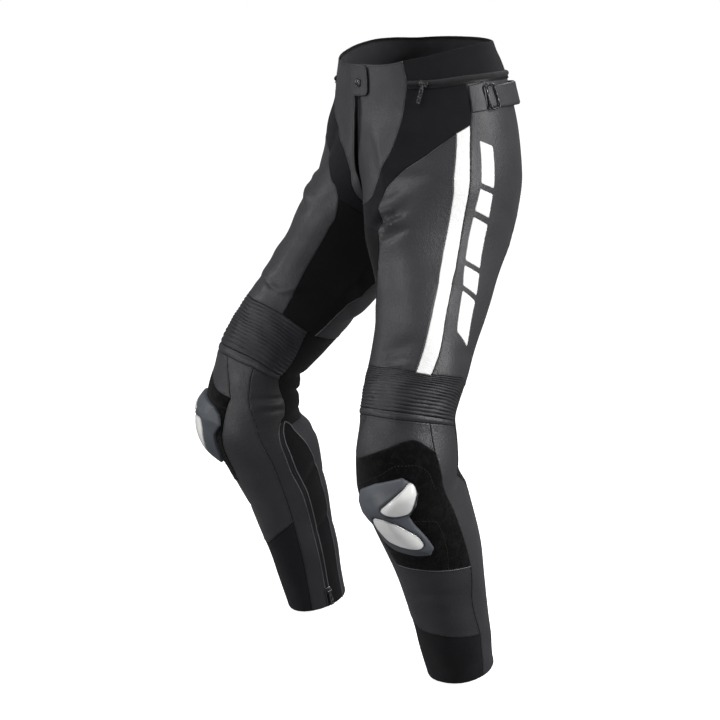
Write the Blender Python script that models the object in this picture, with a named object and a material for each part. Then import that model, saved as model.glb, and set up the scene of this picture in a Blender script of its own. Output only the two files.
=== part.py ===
"""Leather motorcycle trousers in the hollow shape they have when worn.

Metres, +Z up.  +X is the wearer's left, -Y the front, and the origin is the
middle of the waist.  Each leg is a stack of closed sections; a seam is drawn on
it in pattern coordinates, and each cut piece is the wall between its seams:
    angle  degrees round the leg: 0 front, 90 outer side, 180 back, -90 inseam
    along  metres down the leg from the waist's top edge to the hem
"""
import math

import bmesh
import bpy
import numpy as np
from mathutils import Matrix, Vector
from mathutils.geometry import delaunay_2d_cdt

# ---- driving sizes -------------------------------------------------------
LEATHER = 0.0014        # wall of the leather pieces
STRETCH = 0.0012        # wall of the woven stretch pieces
SEAM_GAP = 0.0003       # between two pieces at their seam
LIE_GAP = 0.0006        # under a piece that lies on another
CROTCH = 0.275          # along the leg, where the legs part
TURN_LENGTH = 0.18      # below the crotch, over which the sections turn square to the leg
BEND_REACH = 0.035      # along, over which a section's plane averages the leg's bend
SQUARENESS = 0.03       # how far the sections swell at their corners
SEAM_STEP = 0.020       # between two points on a seam
FIELD_STEP = 0.028      # between two points inside a piece
FINE_STEP = 0.010       # the same on pieces that lie on others
HEM = 0.980
FLY_END = 0.168         # lower end of the fly's slot
FLY_TAIL = 0.004        # how much shorter the zip in it is
FLY_HALF_WIDTH = 0.0026
RIB_COUNT = 14          # ribs above each knee
RIB_HEIGHT = 0.0018
BAND_WIDTH = 0.009      # the welt under the ribs

# Sections down the leg, in metres and degrees: how far along, how far the centre
# is out to the side, forward and down, how far the outer side reaches, the depth
# to the front and to the back, the turn outwards, the tip of the section, and how
# much the front of the inner thigh is hollowed.
COLUMNS = ("along", "out", "fore", "down", "reach", "front", "back", "yaw", "tip", "groin")
SECTIONS = {
    "waist":     (0.000, 0.000, -0.002, -0.004, 0.134, 0.122, 0.084, 0, 11, 0.00),
    "band":      (0.045, 0.000, -0.002, 0.043, 0.146, 0.121, 0.108, 0, 9, 0.00),
    "hip top":   (0.110, 0.024, 0.002, 0.110, 0.164, 0.117, 0.122, 0, 4, 0.10),
    "hip":       (0.170, 0.052, 0.012, 0.171, 0.170, 0.116, 0.132, 0, 0, 0.20),
    "seat":      (0.225, 0.074, 0.032, 0.222, 0.172, 0.114, 0.138, 0, -5, 0.35),
    "low seat":  (0.255, 0.083, 0.044, 0.252, 0.173, 0.109, 0.134, 0, -9, 0.45),
    "crotch":    (0.275, 0.088, 0.052, 0.270, 0.176, 0.106, 0.129, 0, -11, 0.60),
    "thigh":     (0.360, 0.135, 0.088, 0.345, 0.211, 0.087, 0.097, 8, -12, 0.75),
    "mid thigh": (0.460, 0.174, 0.133, 0.424, 0.246, 0.0765, 0.075, 14, -12, 0.44),
    "knee top":  (0.560, 0.199, 0.170, 0.505, 0.268, 0.070, 0.066, 18, -12, 0.10),
    "kneecap":   (0.605, 0.203, 0.172, 0.544, 0.274, 0.078, 0.067, 19, -12, 0.00),
    "knee":      (0.640, 0.204, 0.172, 0.576, 0.276, 0.0775, 0.068, 20, -12, 0.00),
    "calf top":  (0.700, 0.202, 0.150, 0.634, 0.273, 0.070, 0.078, 22, -12, 0.00),
    "calf":      (0.780, 0.201, 0.120, 0.708, 0.267, 0.062, 0.070, 22, -12, 0.00),
    "low calf":  (0.870, 0.198, 0.094, 0.794, 0.256, 0.054, 0.058, 22, -12, 0.00),
    "hem":       (HEM, 0.194, 0.066, 0.896, 0.244, 0.047, 0.049, 22, -12, 0.00),
}

# The right knee is bent further, so its ribs open and its seams sit higher:
# along on the pattern, and where that comes on the left and on the right leg.
SLIDE = {
    "waist":       (0.000, 0.000, 0.000),
    "upper thigh": (0.300, 0.300, 0.300),
    "ribs start":  (0.476, 0.502, 0.450),
    "ribs end":    (0.540, 0.549, 0.531),
    "knee":        (0.656, 0.675, 0.637),
    "cuff":        (0.868, 0.887, 0.849),
    "hem":         (HEM, HEM, HEM),
}

# The largest folds: angle and along of the middle, turn of the fold's line
# (0 runs down the leg, 90 round it), half length, half width, height (trough < 0).
FOLD_COLUMNS = ("angle", "along", "turn", "length", "width", "height")
FOLDS = {
    "groin ridge":   (20, 0.218, 118, 0.034, 0.009, 0.0040),
    "groin trough":  (20, 0.242, 114, 0.030, 0.008, -0.0035),
    "hip crease":    (34, 0.172, 98, 0.030, 0.010, -0.0025),
    "above ribs":    (14, 0.452, 110, 0.034, 0.009, -0.0030),
    "seat crease":   (196, 0.300, 84, 0.052, 0.011, -0.0040),
    "back of thigh": (214, 0.420, 70, 0.040, 0.010, -0.0035),
    "knee pit high": (200, 0.535, 86, 0.050, 0.010, -0.0050),
    "knee pit low":  (192, 0.590, 94, 0.052, 0.010, -0.0055),
    "calf crease":   (186, 0.640, 84, 0.046, 0.010, -0.0040),
}

COLOURS = {   # base colour, roughness, metallic
    "leather": ((0.060, 0.060, 0.066), 0.55, 0.0),
    "stretch": ((0.012, 0.011, 0.014), 0.85, 0.0),
    "white leather": ((0.86, 0.86, 0.84), 0.45, 0.0),
    "hook pad": ((0.006, 0.006, 0.008), 1.0, 0.0),
    "slider plastic": ((0.095, 0.115, 0.140), 0.40, 0.0),
    "zip": ((0.020, 0.020, 0.022), 0.60, 0.0),
    "metal": ((0.080, 0.080, 0.085), 0.35, 1.0),
}


# ---- the worn shape ------------------------------------------------------
def smooth(x, xs, ys):
    """Monotone cubic through the points (xs, ys): no overshoot between them."""
    xs, ys = np.asarray(xs, float), np.asarray(ys, float)
    width = np.diff(xs)
    slope = np.diff(ys) / width
    tangent = np.zeros_like(ys)
    left, right = slope[:-1], slope[1:]
    same = left * right > 0
    weight_left = 2 * width[1:] + width[:-1]
    weight_right = width[1:] + 2 * width[:-1]
    total = weight_left + weight_right
    mean = total[same] / (weight_left[same] / left[same] + weight_right[same] / right[same])
    tangent[1:-1][same] = mean
    tangent[0], tangent[-1] = slope[0], slope[-1]
    x = np.asarray(x, float)
    i = np.clip(np.searchsorted(xs, x) - 1, 0, len(xs) - 2)
    t = (x - xs[i]) / width[i]
    return ((2 * t**3 - 3 * t**2 + 1) * ys[i] + (t**3 - 2 * t**2 + t) * width[i] * tangent[i]
            + (3 * t**2 - 2 * t**3) * ys[i + 1] + (t**3 - t**2) * width[i] * tangent[i + 1])


def column(name, along):
    """One column of the section table, read anywhere along the leg."""
    rows = np.array(list(SECTIONS.values()), float)
    return smooth(along, rows[:, 0], rows[:, COLUMNS.index(name)])


def slid(side, along):
    """Where a place on the pattern comes on this leg."""
    rows = np.array(list(SLIDE.values()))
    return smooth(along, rows[:, 0], rows[:, 1 if side == "left" else 2])


def half_width(along):
    return column("reach", along) - column("out", along)


def unit(vectors):
    return vectors / np.linalg.norm(vectors, axis=-1, keepdims=True)


def centre_line(along):
    parts = column("out", along), -column("fore", along), -column("down", along)
    return np.stack(parts, axis=-1)


def section_point(angle, along):
    """The bare surface: an ellipse with full corners in a plane that tips with
    the hips above the crotch and turns square to the leg below it."""
    angle, along = np.broadcast_arrays(np.asarray(angle, float), np.asarray(along, float))
    angle = np.radians(angle)
    above, below = np.maximum(along - BEND_REACH, 0), np.minimum(along + BEND_REACH, HEM)
    leg = unit(centre_line(above) - centre_line(below))
    tip = np.radians(column("tip", along))
    hips = np.stack((0 * tip, -np.sin(tip), np.cos(tip)), axis=-1)
    t = np.clip((along - CROTCH) / TURN_LENGTH, 0, 1)
    turn = (t * t * (3 - 2 * t))[..., None]
    upward = unit(hips * (1 - turn) + leg * turn)
    yaw = np.radians(column("yaw", along)) * turn[..., 0]
    back = np.stack((-np.sin(yaw), np.cos(yaw), 0 * yaw), axis=-1)
    back = unit(back - (back * upward).sum(-1, keepdims=True) * upward)
    outward = np.cross(back, upward)
    depth = np.where(np.cos(angle) > 0, column("front", along), column("back", along))
    hollow = (np.sin(angle) < 0) & (np.cos(angle) > 0)
    depth = depth * (1 - column("groin", along) * np.where(hollow, np.sin(angle)**2, 0))
    depth = depth * (1 + SQUARENESS * (1 - np.cos(4 * angle)) / 2)
    across = half_width(along) * np.sin(angle)
    return (centre_line(along) + across[..., None] * outward
            - (depth * np.cos(angle))[..., None] * back)


def outward_normal(angle, along):
    around = section_point(angle + 0.5, along) - section_point(angle - 0.5, along)
    down = section_point(angle, along + 0.001) - section_point(angle, along - 0.001)
    return unit(np.cross(down, around))


def mean_radius(along):
    return (half_width(along) + (column("front", along) + column("back", along)) / 2) / 2


def flat(angle, along):
    """Pattern coordinates to a nearly undistorted plane, in metres."""
    return np.stack((np.radians(angle) * mean_radius(along), np.asarray(along, float)), -1)


def fold_height(angle, along):
    """Sum of the folds: each is a bump that fades along and across its line."""
    total = np.zeros(np.broadcast(angle, along).shape)
    for values in FOLDS.values():
        fold = dict(zip(FOLD_COLUMNS, values))
        shift = (np.asarray(angle) - fold["angle"] + 180) % 360 - 180
        across = np.radians(shift) * mean_radius(fold["along"])
        down = np.asarray(along) - fold["along"]
        turn = math.radians(fold["turn"])
        lengthwise = down * math.cos(turn) + across * math.sin(turn)
        sideways = across * math.cos(turn) - down * math.sin(turn)
        shape = np.exp(-(lengthwise / fold["length"])**4 - (sideways / fold["width"])**2)
        total = total + fold["height"] * shape
    return total


def place(side, angle, along, lift=0.0):
    """Pattern coordinates to the outer face of the cloth, moved out by lift.
    Both legs are worked out as the left one; the right one is mirrored later."""
    angle, along = np.asarray(angle, float), np.asarray(along, float)
    there = slid(side, along)
    height = fold_height(angle, along) + lift
    return section_point(angle, there) + outward_normal(angle, there) * height[..., None]


def centre(along):
    """Angle of the front middle seam; the back one is at 180 less this."""
    ratio = np.clip(column("out", along) / half_width(along), 0, 1)
    return np.where(np.asarray(along) >= CROTCH, -90.0, -np.degrees(np.arcsin(ratio)))


# ---- seams ---------------------------------------------------------------
FRONT_TIP = 0.238       # along, where the front leather ends on the middle seam
GUSSET = 0.262          # along, where the inner thigh piece starts on the middle seam
BACK_WAIST = 0.052      # along, lower edge of the waistband at the middle of the back
FLY_ANGLE = math.degrees(FLY_HALF_WIDTH / 0.118)
ZIP_ANGLE = 3.4         # half width of the calf zip's tape, in degrees


def middle_front(start, end, count, beside=0.0):
    return [(float(centre(s)) + beside, s) for s in np.linspace(start, end, count)]


def middle_back(start, end, count):
    return [(180 - angle, along) for angle, along in middle_front(start, end, count)]


def crotch_curve():
    """The middle seam where it passes under: angles are even, along is read off."""
    along = np.linspace(GUSSET, CROTCH, 400)
    angles = centre(along)
    front = np.linspace(angles[0], -90, 7)
    depth = np.interp(-front, -angles, along)
    rear = -180 - front[::-1]
    return list(zip(front, depth)) + list(zip(rear, depth[::-1]))[1:]


def zip_edge(offset):
    """An edge of the calf zip: its line, moved round the leg by offset degrees."""
    line = ((-114, 0.655), (-107, 0.700), (-106, 0.735), (-110, 0.790),
            (-111, 0.850), (-110, 0.910), (-106, HEM))
    return [(angle + offset, along) for angle, along in line]


# Each seam runs between two corners through (angle, along) points.  One that is
# named with a side is drawn for that leg alone, where the cloth has shifted.
SEAMS = {
    "waist front": [(FLY_ANGLE, -0.0070), (10, -0.0062), (24, -0.0056), (32, -0.0065),
                    (38, -0.0088)],
    "waist side": [(38, -0.0088), (56, -0.0108), (76, -0.0128), (94, -0.0120), (114, -0.0090),
                   (140, -0.0040), (180, -0.0035)],
    "fly edge": middle_front(-0.0070, FLY_END, 7, FLY_ANGLE) + middle_front(0.180, FRONT_TIP, 4),
    "front edge top": [(38, -0.0088), (40, 0.027)],
    "front edge left": [(40, 0.027), (34, 0.074), (24, 0.121), (14, 0.156), (6, 0.188),
                        (0, 0.214), (-14, 0.230), (float(centre(FRONT_TIP)), FRONT_TIP)],
    "front edge right": [(40, 0.027), (34, 0.056), (20, 0.088), (6, 0.120), (-6, 0.138),
                         (-17, 0.163), (-28, 0.194), (-40, 0.218),
                         (float(centre(FRONT_TIP)), FRONT_TIP)],
    "waist zip front": [(40, 0.027), (58, 0.030), (76, 0.031)],
    "waist zip side": [(76, 0.031), (110, 0.038), (150, 0.048)],
    "waist zip back": [(150, 0.048), (180, BACK_WAIST)],
    "middle back top": [(180, -0.0035), (180, BACK_WAIST)],
    "hip edge": [(76, 0.031), (78, 0.066), (76, 0.096)],
    "stripe top": [(76, 0.096), (66, 0.106)],
    "yoke left": [(66, 0.106), (55, 0.122), (44, 0.140), (33, 0.156), (22, 0.177),
                  (15, 0.202), (12, 0.232), (12, 0.272)],
    "yoke right": [(66, 0.106), (49, 0.114), (32, 0.122), (18, 0.138), (7, 0.160),
                   (-6, 0.184), (-18, 0.202), (-26, 0.222)],
    "gusset top left": [(12, 0.272), (-10, 0.268), (-40, 0.263), (float(centre(GUSSET)), GUSSET)],
    "gusset top right": [(-26, 0.222), (-38, 0.234), (-54, 0.249), (float(centre(GUSSET)), GUSSET)],
    "middle front": middle_front(FRONT_TIP, GUSSET, 4),
    "crotch": crotch_curve(),
    "middle back": middle_back(BACK_WAIST, GUSSET, 9),
    "inner front left": [(12, 0.272), (11, 0.292), (5, 0.316), (-7, 0.346), (-20, 0.374),
                         (-32, 0.404), (-40, 0.434), (-43, 0.464)],
    "inner front right": [(-26, 0.222), (-29, 0.242), (-30, 0.258), (-28, 0.282), (-28, 0.316),
                          (-29, 0.352), (-32, 0.392), (-37, 0.430), (-43, 0.464)],
    "inner back": [(float(-180 - centre(GUSSET)), GUSSET), (-117, 0.300), (-112, 0.352),
                   (-106, 0.384), (-100, 0.420), (-98, 0.464)],
    "pit inner": [(-98, 0.464), (-84, 0.464)],
    "stripe front": [(66, 0.106), (65.4, 0.137), (65, 0.169), (68, 0.203), (70.7, 0.236),
                     (71.6, 0.267), (70.6, 0.297), (67, 0.329), (62.5, 0.364), (58, 0.396),
                     (52.6, 0.424), (43, 0.481)],
    "stripe back": [(76, 0.096), (75.2, 0.126), (76, 0.156), (78, 0.188), (81, 0.220),
                    (83, 0.248), (84.2, 0.277), (83.7, 0.306), (79.7, 0.336), (76.4, 0.368),
                    (73, 0.397), (69, 0.424), (65, 0.450), (60, 0.479)],
    "side back": [(150, 0.048), (150, 0.150), (148, 0.220), (140, 0.300), (130, 0.390),
                  (125, 0.458)],
    "ribs top inner": [(-84, 0.464), (-43, 0.464)],
    "ribs top front": [(-43, 0.464), (-24, 0.470), (0, 0.478), (43, 0.481)],
    "ribs top stripe": [(43, 0.481), (60, 0.479)],
    "ribs top outer": [(60, 0.479), (90, 0.467), (111, 0.459), (125, 0.458)],
    "knee back top": [(125, 0.458), (180, 0.456), (240, 0.460), (262, 0.464)],
    "ribs inner end": [(-84, 0.464), (-96, 0.498), (-103, 0.525), (-101, 0.543)],
    "ribs outer end": [(125, 0.458), (116, 0.500), (106, 0.548)],
    "ribs bottom": [(-101, 0.543), (-56, 0.535), (-20, 0.538), (20, 0.542), (64, 0.545),
                    (106, 0.548)],
    "welt inner end": [(-101, 0.543), (-101, 0.552)],
    "welt outer end": [(106, 0.548), (106, 0.557)],
    "welt calf": [(-101, 0.552), (-60, 0.545)],
    "welt shin": [(-60, 0.545), (-20, 0.547)],
    "welt knee": [(-20, 0.547), (20, 0.551), (64, 0.554)],
    "welt strip": [(64, 0.554), (106, 0.557)],
    "knee inner": [(-20, 0.547), (-32, 0.568), (-46, 0.604)],
    "pad top": [(-46, 0.604), (-20, 0.597), (10, 0.585), (42, 0.574), (69, 0.590)],
    "knee outer": [(64, 0.554), (66, 0.570), (69, 0.590)],
    "pad outer": [(69, 0.590), (74, 0.623), (75, 0.669), (75, 0.765)],
    "pad inner": [(-46, 0.604), (-40, 0.640), (-32, 0.680), (-26, 0.715), (-22, 0.738)],
    "pad bottom": [(-22, 0.738), (10, 0.745), (40, 0.753), (75, 0.765)],
    "shin outer": [(75, 0.765), (72, 0.821), (76, 0.890)],
    "cuff outer": [(76, 0.890), (72, 0.935), (69, HEM)],
    "cuff top": [(-82, 0.830), (-56, 0.845), (-18, 0.866), (9, 0.870), (40, 0.879), (76, 0.890)],
    "long seam": [(-60, 0.545), (-64, 0.576), (-72, 0.624), (-81, 0.667), (-86, 0.725),
                  (-84, 0.790), (-82, 0.830)],
    "cuff inner": [(-82, 0.830), (-80, 0.887), (-70, HEM)],
    "strip back top": [(106, 0.557), (115, 0.595), (110, 0.625), (120, 0.665)],
    "strip back": [(120, 0.665), (130, 0.720), (135, 0.800), (135, 0.890), (135, HEM)],
    "knee back inner": [(-101, 0.552), (-108, 0.580), (-116, 0.612), (-117, 0.636),
                        (-114 + ZIP_ANGLE, 0.655)],
    "zip top": [(-114 + ZIP_ANGLE, 0.655), (-114 - ZIP_ANGLE, 0.655)],
    "zip front edge": zip_edge(ZIP_ANGLE),
    "zip back edge": zip_edge(-ZIP_ANGLE),
    "gusset head": [(-114 - ZIP_ANGLE, 0.655), (-122, 0.659), (-128, 0.668)],
    "gusset back": [(-128, 0.668), (-135, 0.709), (-141, 0.765), (-142, 0.865), (-142, HEM)],
    "calf top": [(232, 0.668), (180, 0.674), (120, 0.665)],
    "hem cuff": [(-70, HEM), (0, HEM), (69, HEM)],
    "hem strip": [(69, HEM), (135, HEM)],
    "hem back": [(135, HEM), (180, HEM), (218, HEM)],
    "hem gusset": [(218, HEM), (254 - ZIP_ANGLE, HEM)],
    "hem zip": [(254 - ZIP_ANGLE, HEM), (254 + ZIP_ANGLE, HEM)],
    "hem calf": [(-106 + ZIP_ANGLE, HEM), (-70, HEM)],
}

# The cut pieces of one leg: what each is made of, and its seams in order, with
# a minus on one that is followed backwards.
PIECES = {
    "front_panel": ("leather", "waist front, front edge top, front edge, -fly edge"),
    "waistband": ("stretch", "waist side, middle back top, -waist zip back, -waist zip side,"
                  " -waist zip front, -front edge top"),
    "hip_panel": ("stretch", "waist zip front, hip edge, stripe top, yoke, gusset top,"
                  " -middle front, -front edge"),
    "thigh_front": ("leather", "stripe front, -ribs top front, -inner front, -yoke"),
    "stripe": ("white leather", "stripe back, -ribs top stripe, -stripe front, -stripe top"),
    "thigh_side": ("leather", "waist zip side, side back, -ribs top outer, -stripe back,"
                   " -hip edge"),
    "seat": ("leather", "waist zip back, middle back, inner back, -knee back top, -side back"),
    "inner_thigh": ("stretch", "gusset top, crotch, inner back, pit inner, ribs top inner,"
                    " -inner front"),
    "welt": ("leather", "ribs bottom, welt outer end, -welt strip, -welt knee, -welt shin,"
             " -welt calf, -welt inner end"),
    "knee_top": ("leather", "welt knee, knee outer, -pad top, -knee inner"),
    "knee_pad": ("hook pad", "pad top, pad outer, -pad bottom, -pad inner"),
    "shin": ("leather", "welt shin, knee inner, pad inner, pad bottom, shin outer, -cuff top,"
             " -long seam"),
    "side_strip": ("leather", "welt strip, strip back top, strip back, -hem strip, -cuff outer,"
                   " -shin outer, -pad outer, -knee outer"),
    "cuff": ("stretch", "cuff top, cuff outer, -hem cuff, -cuff inner"),
    "calf_inner": ("leather", "welt calf, long seam, cuff inner, -hem calf, -zip front edge,"
                   " -knee back inner"),
    "calf_zip": ("zip", "zip top, zip back edge, hem zip, -zip front edge"),
    "calf_gusset": ("stretch", "gusset head, gusset back, hem gusset, -zip back edge"),
    "calf_back": ("leather", "calf top, strip back, hem back, -gusset back"),
    "knee_back": ("stretch", "knee back top, pit inner, ribs inner end, welt inner end,"
                  " knee back inner, zip top, gusset head, calf top, -strip back top,"
                  " -welt outer end, -ribs outer end"),
}
LIFTS = {"knee_pad": 0.0008, "welt": 0.0006, "calf_zip": -0.0002}   # outer face, off flush
COUNTS = {"ribs inner end": 2 * RIB_COUNT, "ribs outer end": 2 * RIB_COUNT}   # steps in a seam


def thinned(points, side, step, count=None):
    """Dense points along a curve to ones evenly spaced on the worn shape."""
    points = np.array(points, float)
    solid = place(side, points[:, 0], points[:, 1])
    length = np.concatenate(([0], np.cumsum(np.linalg.norm(np.diff(solid, axis=0), axis=1))))
    count = count or max(1, round(length[-1] / step))
    wanted = np.linspace(0, length[-1], count + 1)
    return np.stack([np.interp(wanted, length, points[:, i]) for i in (0, 1)], axis=-1)


def seam(name, side, step=SEAM_STEP, count=None):
    """A smooth curve through a seam's points, thinned to the seam step."""
    knots = np.array(SEAMS.get(name) or SEAMS[f"{name} {side}"], float)
    travel = np.linalg.norm(np.diff(flat(knots[:, 0], knots[:, 1]), axis=0), axis=1)
    travel = np.concatenate(([0], np.cumsum(travel)))
    dense = np.linspace(0, travel[-1], 40 * len(knots))
    curve = np.stack([smooth(dense, travel, knots[:, i]) for i in (0, 1)], axis=-1)
    return thinned(curve, side, step, count or COUNTS.get(name))


def outline(names, side):
    """Seams joined into one closed loop of (angle, along); a seam whose angles
    are written a full turn away is brought round to the one before it."""
    loop = []
    for name in (part.strip() for part in names.split(",")):
        run = seam(name.lstrip("-"), side)
        run = run[::-1] if name.startswith("-") else run
        if loop:
            run[:, 0] += 360 * round((loop[-1][0] - run[0, 0]) / 360)
        loop.extend(tuple(point) for point in run[:-1])
    return np.array(loop)


# ---- walls ---------------------------------------------------------------
def inside(points, polygon):
    """Which points lie in a polygon, by counting edges crossed."""
    x, y = points[:, 0, None], points[:, 1, None]
    x0, y0 = polygon[:, 0], polygon[:, 1]
    x1, y1 = np.roll(x0, -1), np.roll(y0, -1)
    spans = (y0 > y) != (y1 > y)
    rise = np.where(y1 == y0, 1, y1 - y0)
    return (spans & (x < (x1 - x0) * (y - y0) / rise + x0)).sum(axis=1) % 2 == 1


def edge_distance(points, polygon):
    start, end = polygon, np.roll(polygon, -1, axis=0)
    run = end - start
    offset = points[:, None] - start
    t = np.clip((offset * run).sum(-1) / (run**2).sum(-1), 0, 1)
    return np.linalg.norm(offset - t[..., None] * run, axis=-1).min(axis=1)


def unflat(points):
    return np.stack((np.degrees(points[:, 0] / mean_radius(points[:, 1])), points[:, 1]), -1)


# First and last angle, top and bottom along, of what lies on the pieces.
STRAP_BASE = (78, 90, 0.040, 0.079)
STRAP_ENDS = ((92, 104, 0.047, 0.078), (156, 166, 0.060, 0.092))
FOOTPRINTS = (STRAP_BASE, *STRAP_ENDS)


def fold_points():
    """Points on each fold's line and to both sides of it, so that facets follow it."""
    found = []
    for values in FOLDS.values():
        fold = dict(zip(FOLD_COLUMNS, values))
        turn = math.radians(fold["turn"])
        for turns in (0, 360):
            middle = flat(fold["angle"] - turns, fold["along"])
            for a in (-1.0, -0.5, 0.0, 0.5, 1.0):
                for b in (-1.3, 0.0, 1.3):
                    run, off = a * fold["length"], b * fold["width"]
                    found.append((middle[0] + run * math.sin(turn) + off * math.cos(turn),
                                  middle[1] + run * math.cos(turn) - off * math.sin(turn)))
    return np.array(found)


def footprint_points():
    """Points under the pieces that lie on others, so that both follow one surface."""
    found = []
    for first, last, top, bottom in FOOTPRINTS:
        angles, alongs = np.meshgrid(np.linspace(first, last, 3), np.linspace(top, bottom, 4))
        found.append(flat(angles.ravel(), alongs.ravel()))
    return np.concatenate(found)


def field(polygon, step):
    """Points inside a piece: those of the folds, then an even triangular grid."""
    low, high = polygon.min(axis=0), polygon.max(axis=0)
    rise = step * math.sqrt(3) / 2
    rows = np.arange(low[1] + rise / 2, high[1], rise)
    grid = [(x + (i % 2) * step / 2, y) for i, y in enumerate(rows)
            for x in np.arange(low[0] - step, high[0] + step, step)]
    points = np.array(grid).reshape(-1, 2)
    points = points[inside(points, polygon)] if len(points) else points
    points = points[edge_distance(points, polygon) > 0.45 * step] if len(points) else points
    folds = np.concatenate((fold_points(), footprint_points()))
    folds = folds[inside(folds, polygon)]
    folds = folds[edge_distance(folds, polygon) > 0.3 * step] if len(folds) else folds
    if len(folds) and len(points):
        apart = np.linalg.norm(points[:, None] - folds, axis=-1).min(axis=1)
        points = points[apart > 0.45 * step]
    return np.concatenate((folds, points)) if len(folds) else points


def pulled_in(solid, normals, gap):
    """Boundary points moved into their piece by the same gap from every edge."""
    ahead = unit(np.roll(solid, -1, axis=0) - solid)
    inward = unit(np.cross(normals, ahead))
    before = np.roll(inward, 1, axis=0)
    closeness = np.maximum(1 + (inward * before).sum(-1, keepdims=True), 0.45)
    return solid + gap * (inward + before) / closeness


def make_object(name, side, points, faces, colour):
    """A mesh object, mirrored for the right leg."""
    points = np.array(points)
    if side == "right":
        points[:, 0] *= -1
        faces = [face[::-1] for face in faces]
    mesh = bpy.data.meshes.new(name)
    mesh.from_pydata([tuple(p) for p in points], [], [tuple(f) for f in faces])
    mesh.update()
    return finish_object(bpy.data.objects.new(name, mesh), colour)


def finish_object(thing, colour):
    for collection in list(thing.users_collection):
        collection.objects.unlink(thing)
    trousers.objects.link(thing)
    thing.data.materials.clear()
    thing.data.materials.append(materials[colour])
    return thing


def wall(name, side, outer, inner, faces, rim, colour):
    """A closed wall: outer faces, the same ones turned round inside, and a rim."""
    count = len(outer)
    back = [tuple(i + count for i in face[::-1]) for face in faces]
    edge = []
    for a, b in zip(rim, np.roll(rim, -1)):
        edge += [(b, a, a + count), (b, a + count, b + count)]
    points = np.concatenate((outer, inner))
    return make_object(name, side, points, list(faces) + back + edge, colour)


def off_middle(points):
    """Keeps a half off its mirror image at the middle seam."""
    points[:, 0] = np.maximum(points[:, 0], SEAM_GAP / 2)
    return points


def cloth(name, side, loop, colour, high=0.0, low=-LEATHER, step=FIELD_STEP, gap=SEAM_GAP / 2):
    """The wall of one piece.  loop is its outline, high and low are the lifts of its
    two faces; high may be a function of the spots and their distance from the outline."""
    polygon = flat(loop[:, 0], loop[:, 1])
    ahead = np.roll(polygon, -1, axis=0)
    area = (polygon[:, 0] * ahead[:, 1] - ahead[:, 0] * polygon[:, 1]).sum()
    if area > 0:
        loop, polygon = loop[::-1], polygon[::-1]
    within = field(polygon, step)
    points = np.concatenate((polygon, within)) if len(within) else polygon
    rim = list(range(len(polygon)))
    result = delaunay_2d_cdt([Vector(p) for p in points], [], [rim[::-1]], 1, 1e-6, True)
    faces = np.array([[result[3][i][0] for i in face] for face in result[2]])
    faces = faces[inside(points[faces].mean(axis=1), polygon)]
    faces = [tuple(f) if turns_left(points, f) < 0 else tuple(f[::-1]) for f in faces.tolist()]
    spots = np.concatenate((loop, unflat(within))) if len(within) else loop
    away = edge_distance(points, polygon)
    lift = high(spots, away) if callable(high) else np.full(len(points), high)
    outer = place(side, spots[:, 0], spots[:, 1], lift)
    inner = place(side, spots[:, 0], spots[:, 1], low)
    normals = outward_normal(loop[:, 0], slid(side, loop[:, 1]))
    for face in (outer, inner):
        face[:len(loop)] = pulled_in(face[:len(loop)], normals, gap)
        off_middle(face)
    return wall(name, side, outer, inner, faces, rim, colour)


def turns_left(points, face):
    a, b, c = (points[i] for i in face)
    return (b[0] - a[0]) * (c[1] - a[1]) - (b[1] - a[1]) * (c[0] - a[0])


def grid_wall(name, side, outer, inner, colour):
    """A closed wall from two grids of points, rows down and columns round."""
    rows, columns = outer.shape[:2]
    index = np.arange(rows * columns).reshape(rows, columns)
    faces = []
    for i in range(rows - 1):
        for j in range(columns - 1):
            a, b, c, d = index[i, j], index[i + 1, j], index[i + 1, j + 1], index[i, j + 1]
            faces += [(a, b, c), (a, c, d)]
    rim = [*index[:, 0], *index[-1, 1:], *index[-2::-1, -1], *index[0, -2:0:-1]]
    return wall(name, side, outer.reshape(-1, 3), inner.reshape(-1, 3), faces, rim, colour)


def patch(name, side, angles, alongs, colour, low, high):
    """A strip that lies on the cloth: grids of angle and along, and two lifts."""
    outer = place(side, angles, alongs, high)
    inner = place(side, angles, alongs, low)
    return grid_wall(name, side, outer, inner, colour)


# ---- pieces that need their own shape ------------------------------------
def ribs(side):
    """The ribbed piece above the knee: rows from the top seam to the bottom one,
    raised in turn at every other row of the outer face."""
    tops = [seam(f"ribs top {part}", side) for part in ("inner", "front", "stripe", "outer")]
    top = np.concatenate([run[:-1] for run in tops] + [tops[-1][-1:]])
    bottom = seam("ribs bottom", side, count=len(top) - 1)
    rows = 2 * RIB_COUNT + 1
    inner_end = seam("ribs inner end", side)
    outer_end = seam("ribs outer end", side)
    down = np.linspace(0, 1, rows)[:, None, None]
    round_ = np.linspace(0, 1, len(top))[None, :, None]
    grid = top * (1 - down) + bottom * down
    grid = grid + (inner_end[:, None] - grid[:, :1]) * (1 - round_)
    grid = grid + (outer_end[:, None] - grid[:, -1:]) * round_
    lift = np.where(np.arange(rows) % 2 == 1, RIB_HEIGHT, 0.0)[:, None]
    outer = place(side, grid[..., 0], grid[..., 1], lift + 0 * grid[..., 0])
    inner = place(side, grid[..., 0], grid[..., 1], -LEATHER)
    index = np.arange(grid.shape[0] * grid.shape[1]).reshape(grid.shape[:2])
    rim = [*index[:, 0], *index[-1, 1:], *index[-2::-1, -1], *index[0, -2:0:-1]]
    spots = grid.reshape(-1, 2)[rim]
    normals = outward_normal(spots[:, 0], slid(side, spots[:, 1]))
    for face in (outer, inner):
        solid = face.reshape(-1, 3)
        solid[rim] = pulled_in(solid[rim], normals, SEAM_GAP)
    return grid_wall(f"ribs_{side}", side, outer, inner, "leather")


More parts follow.
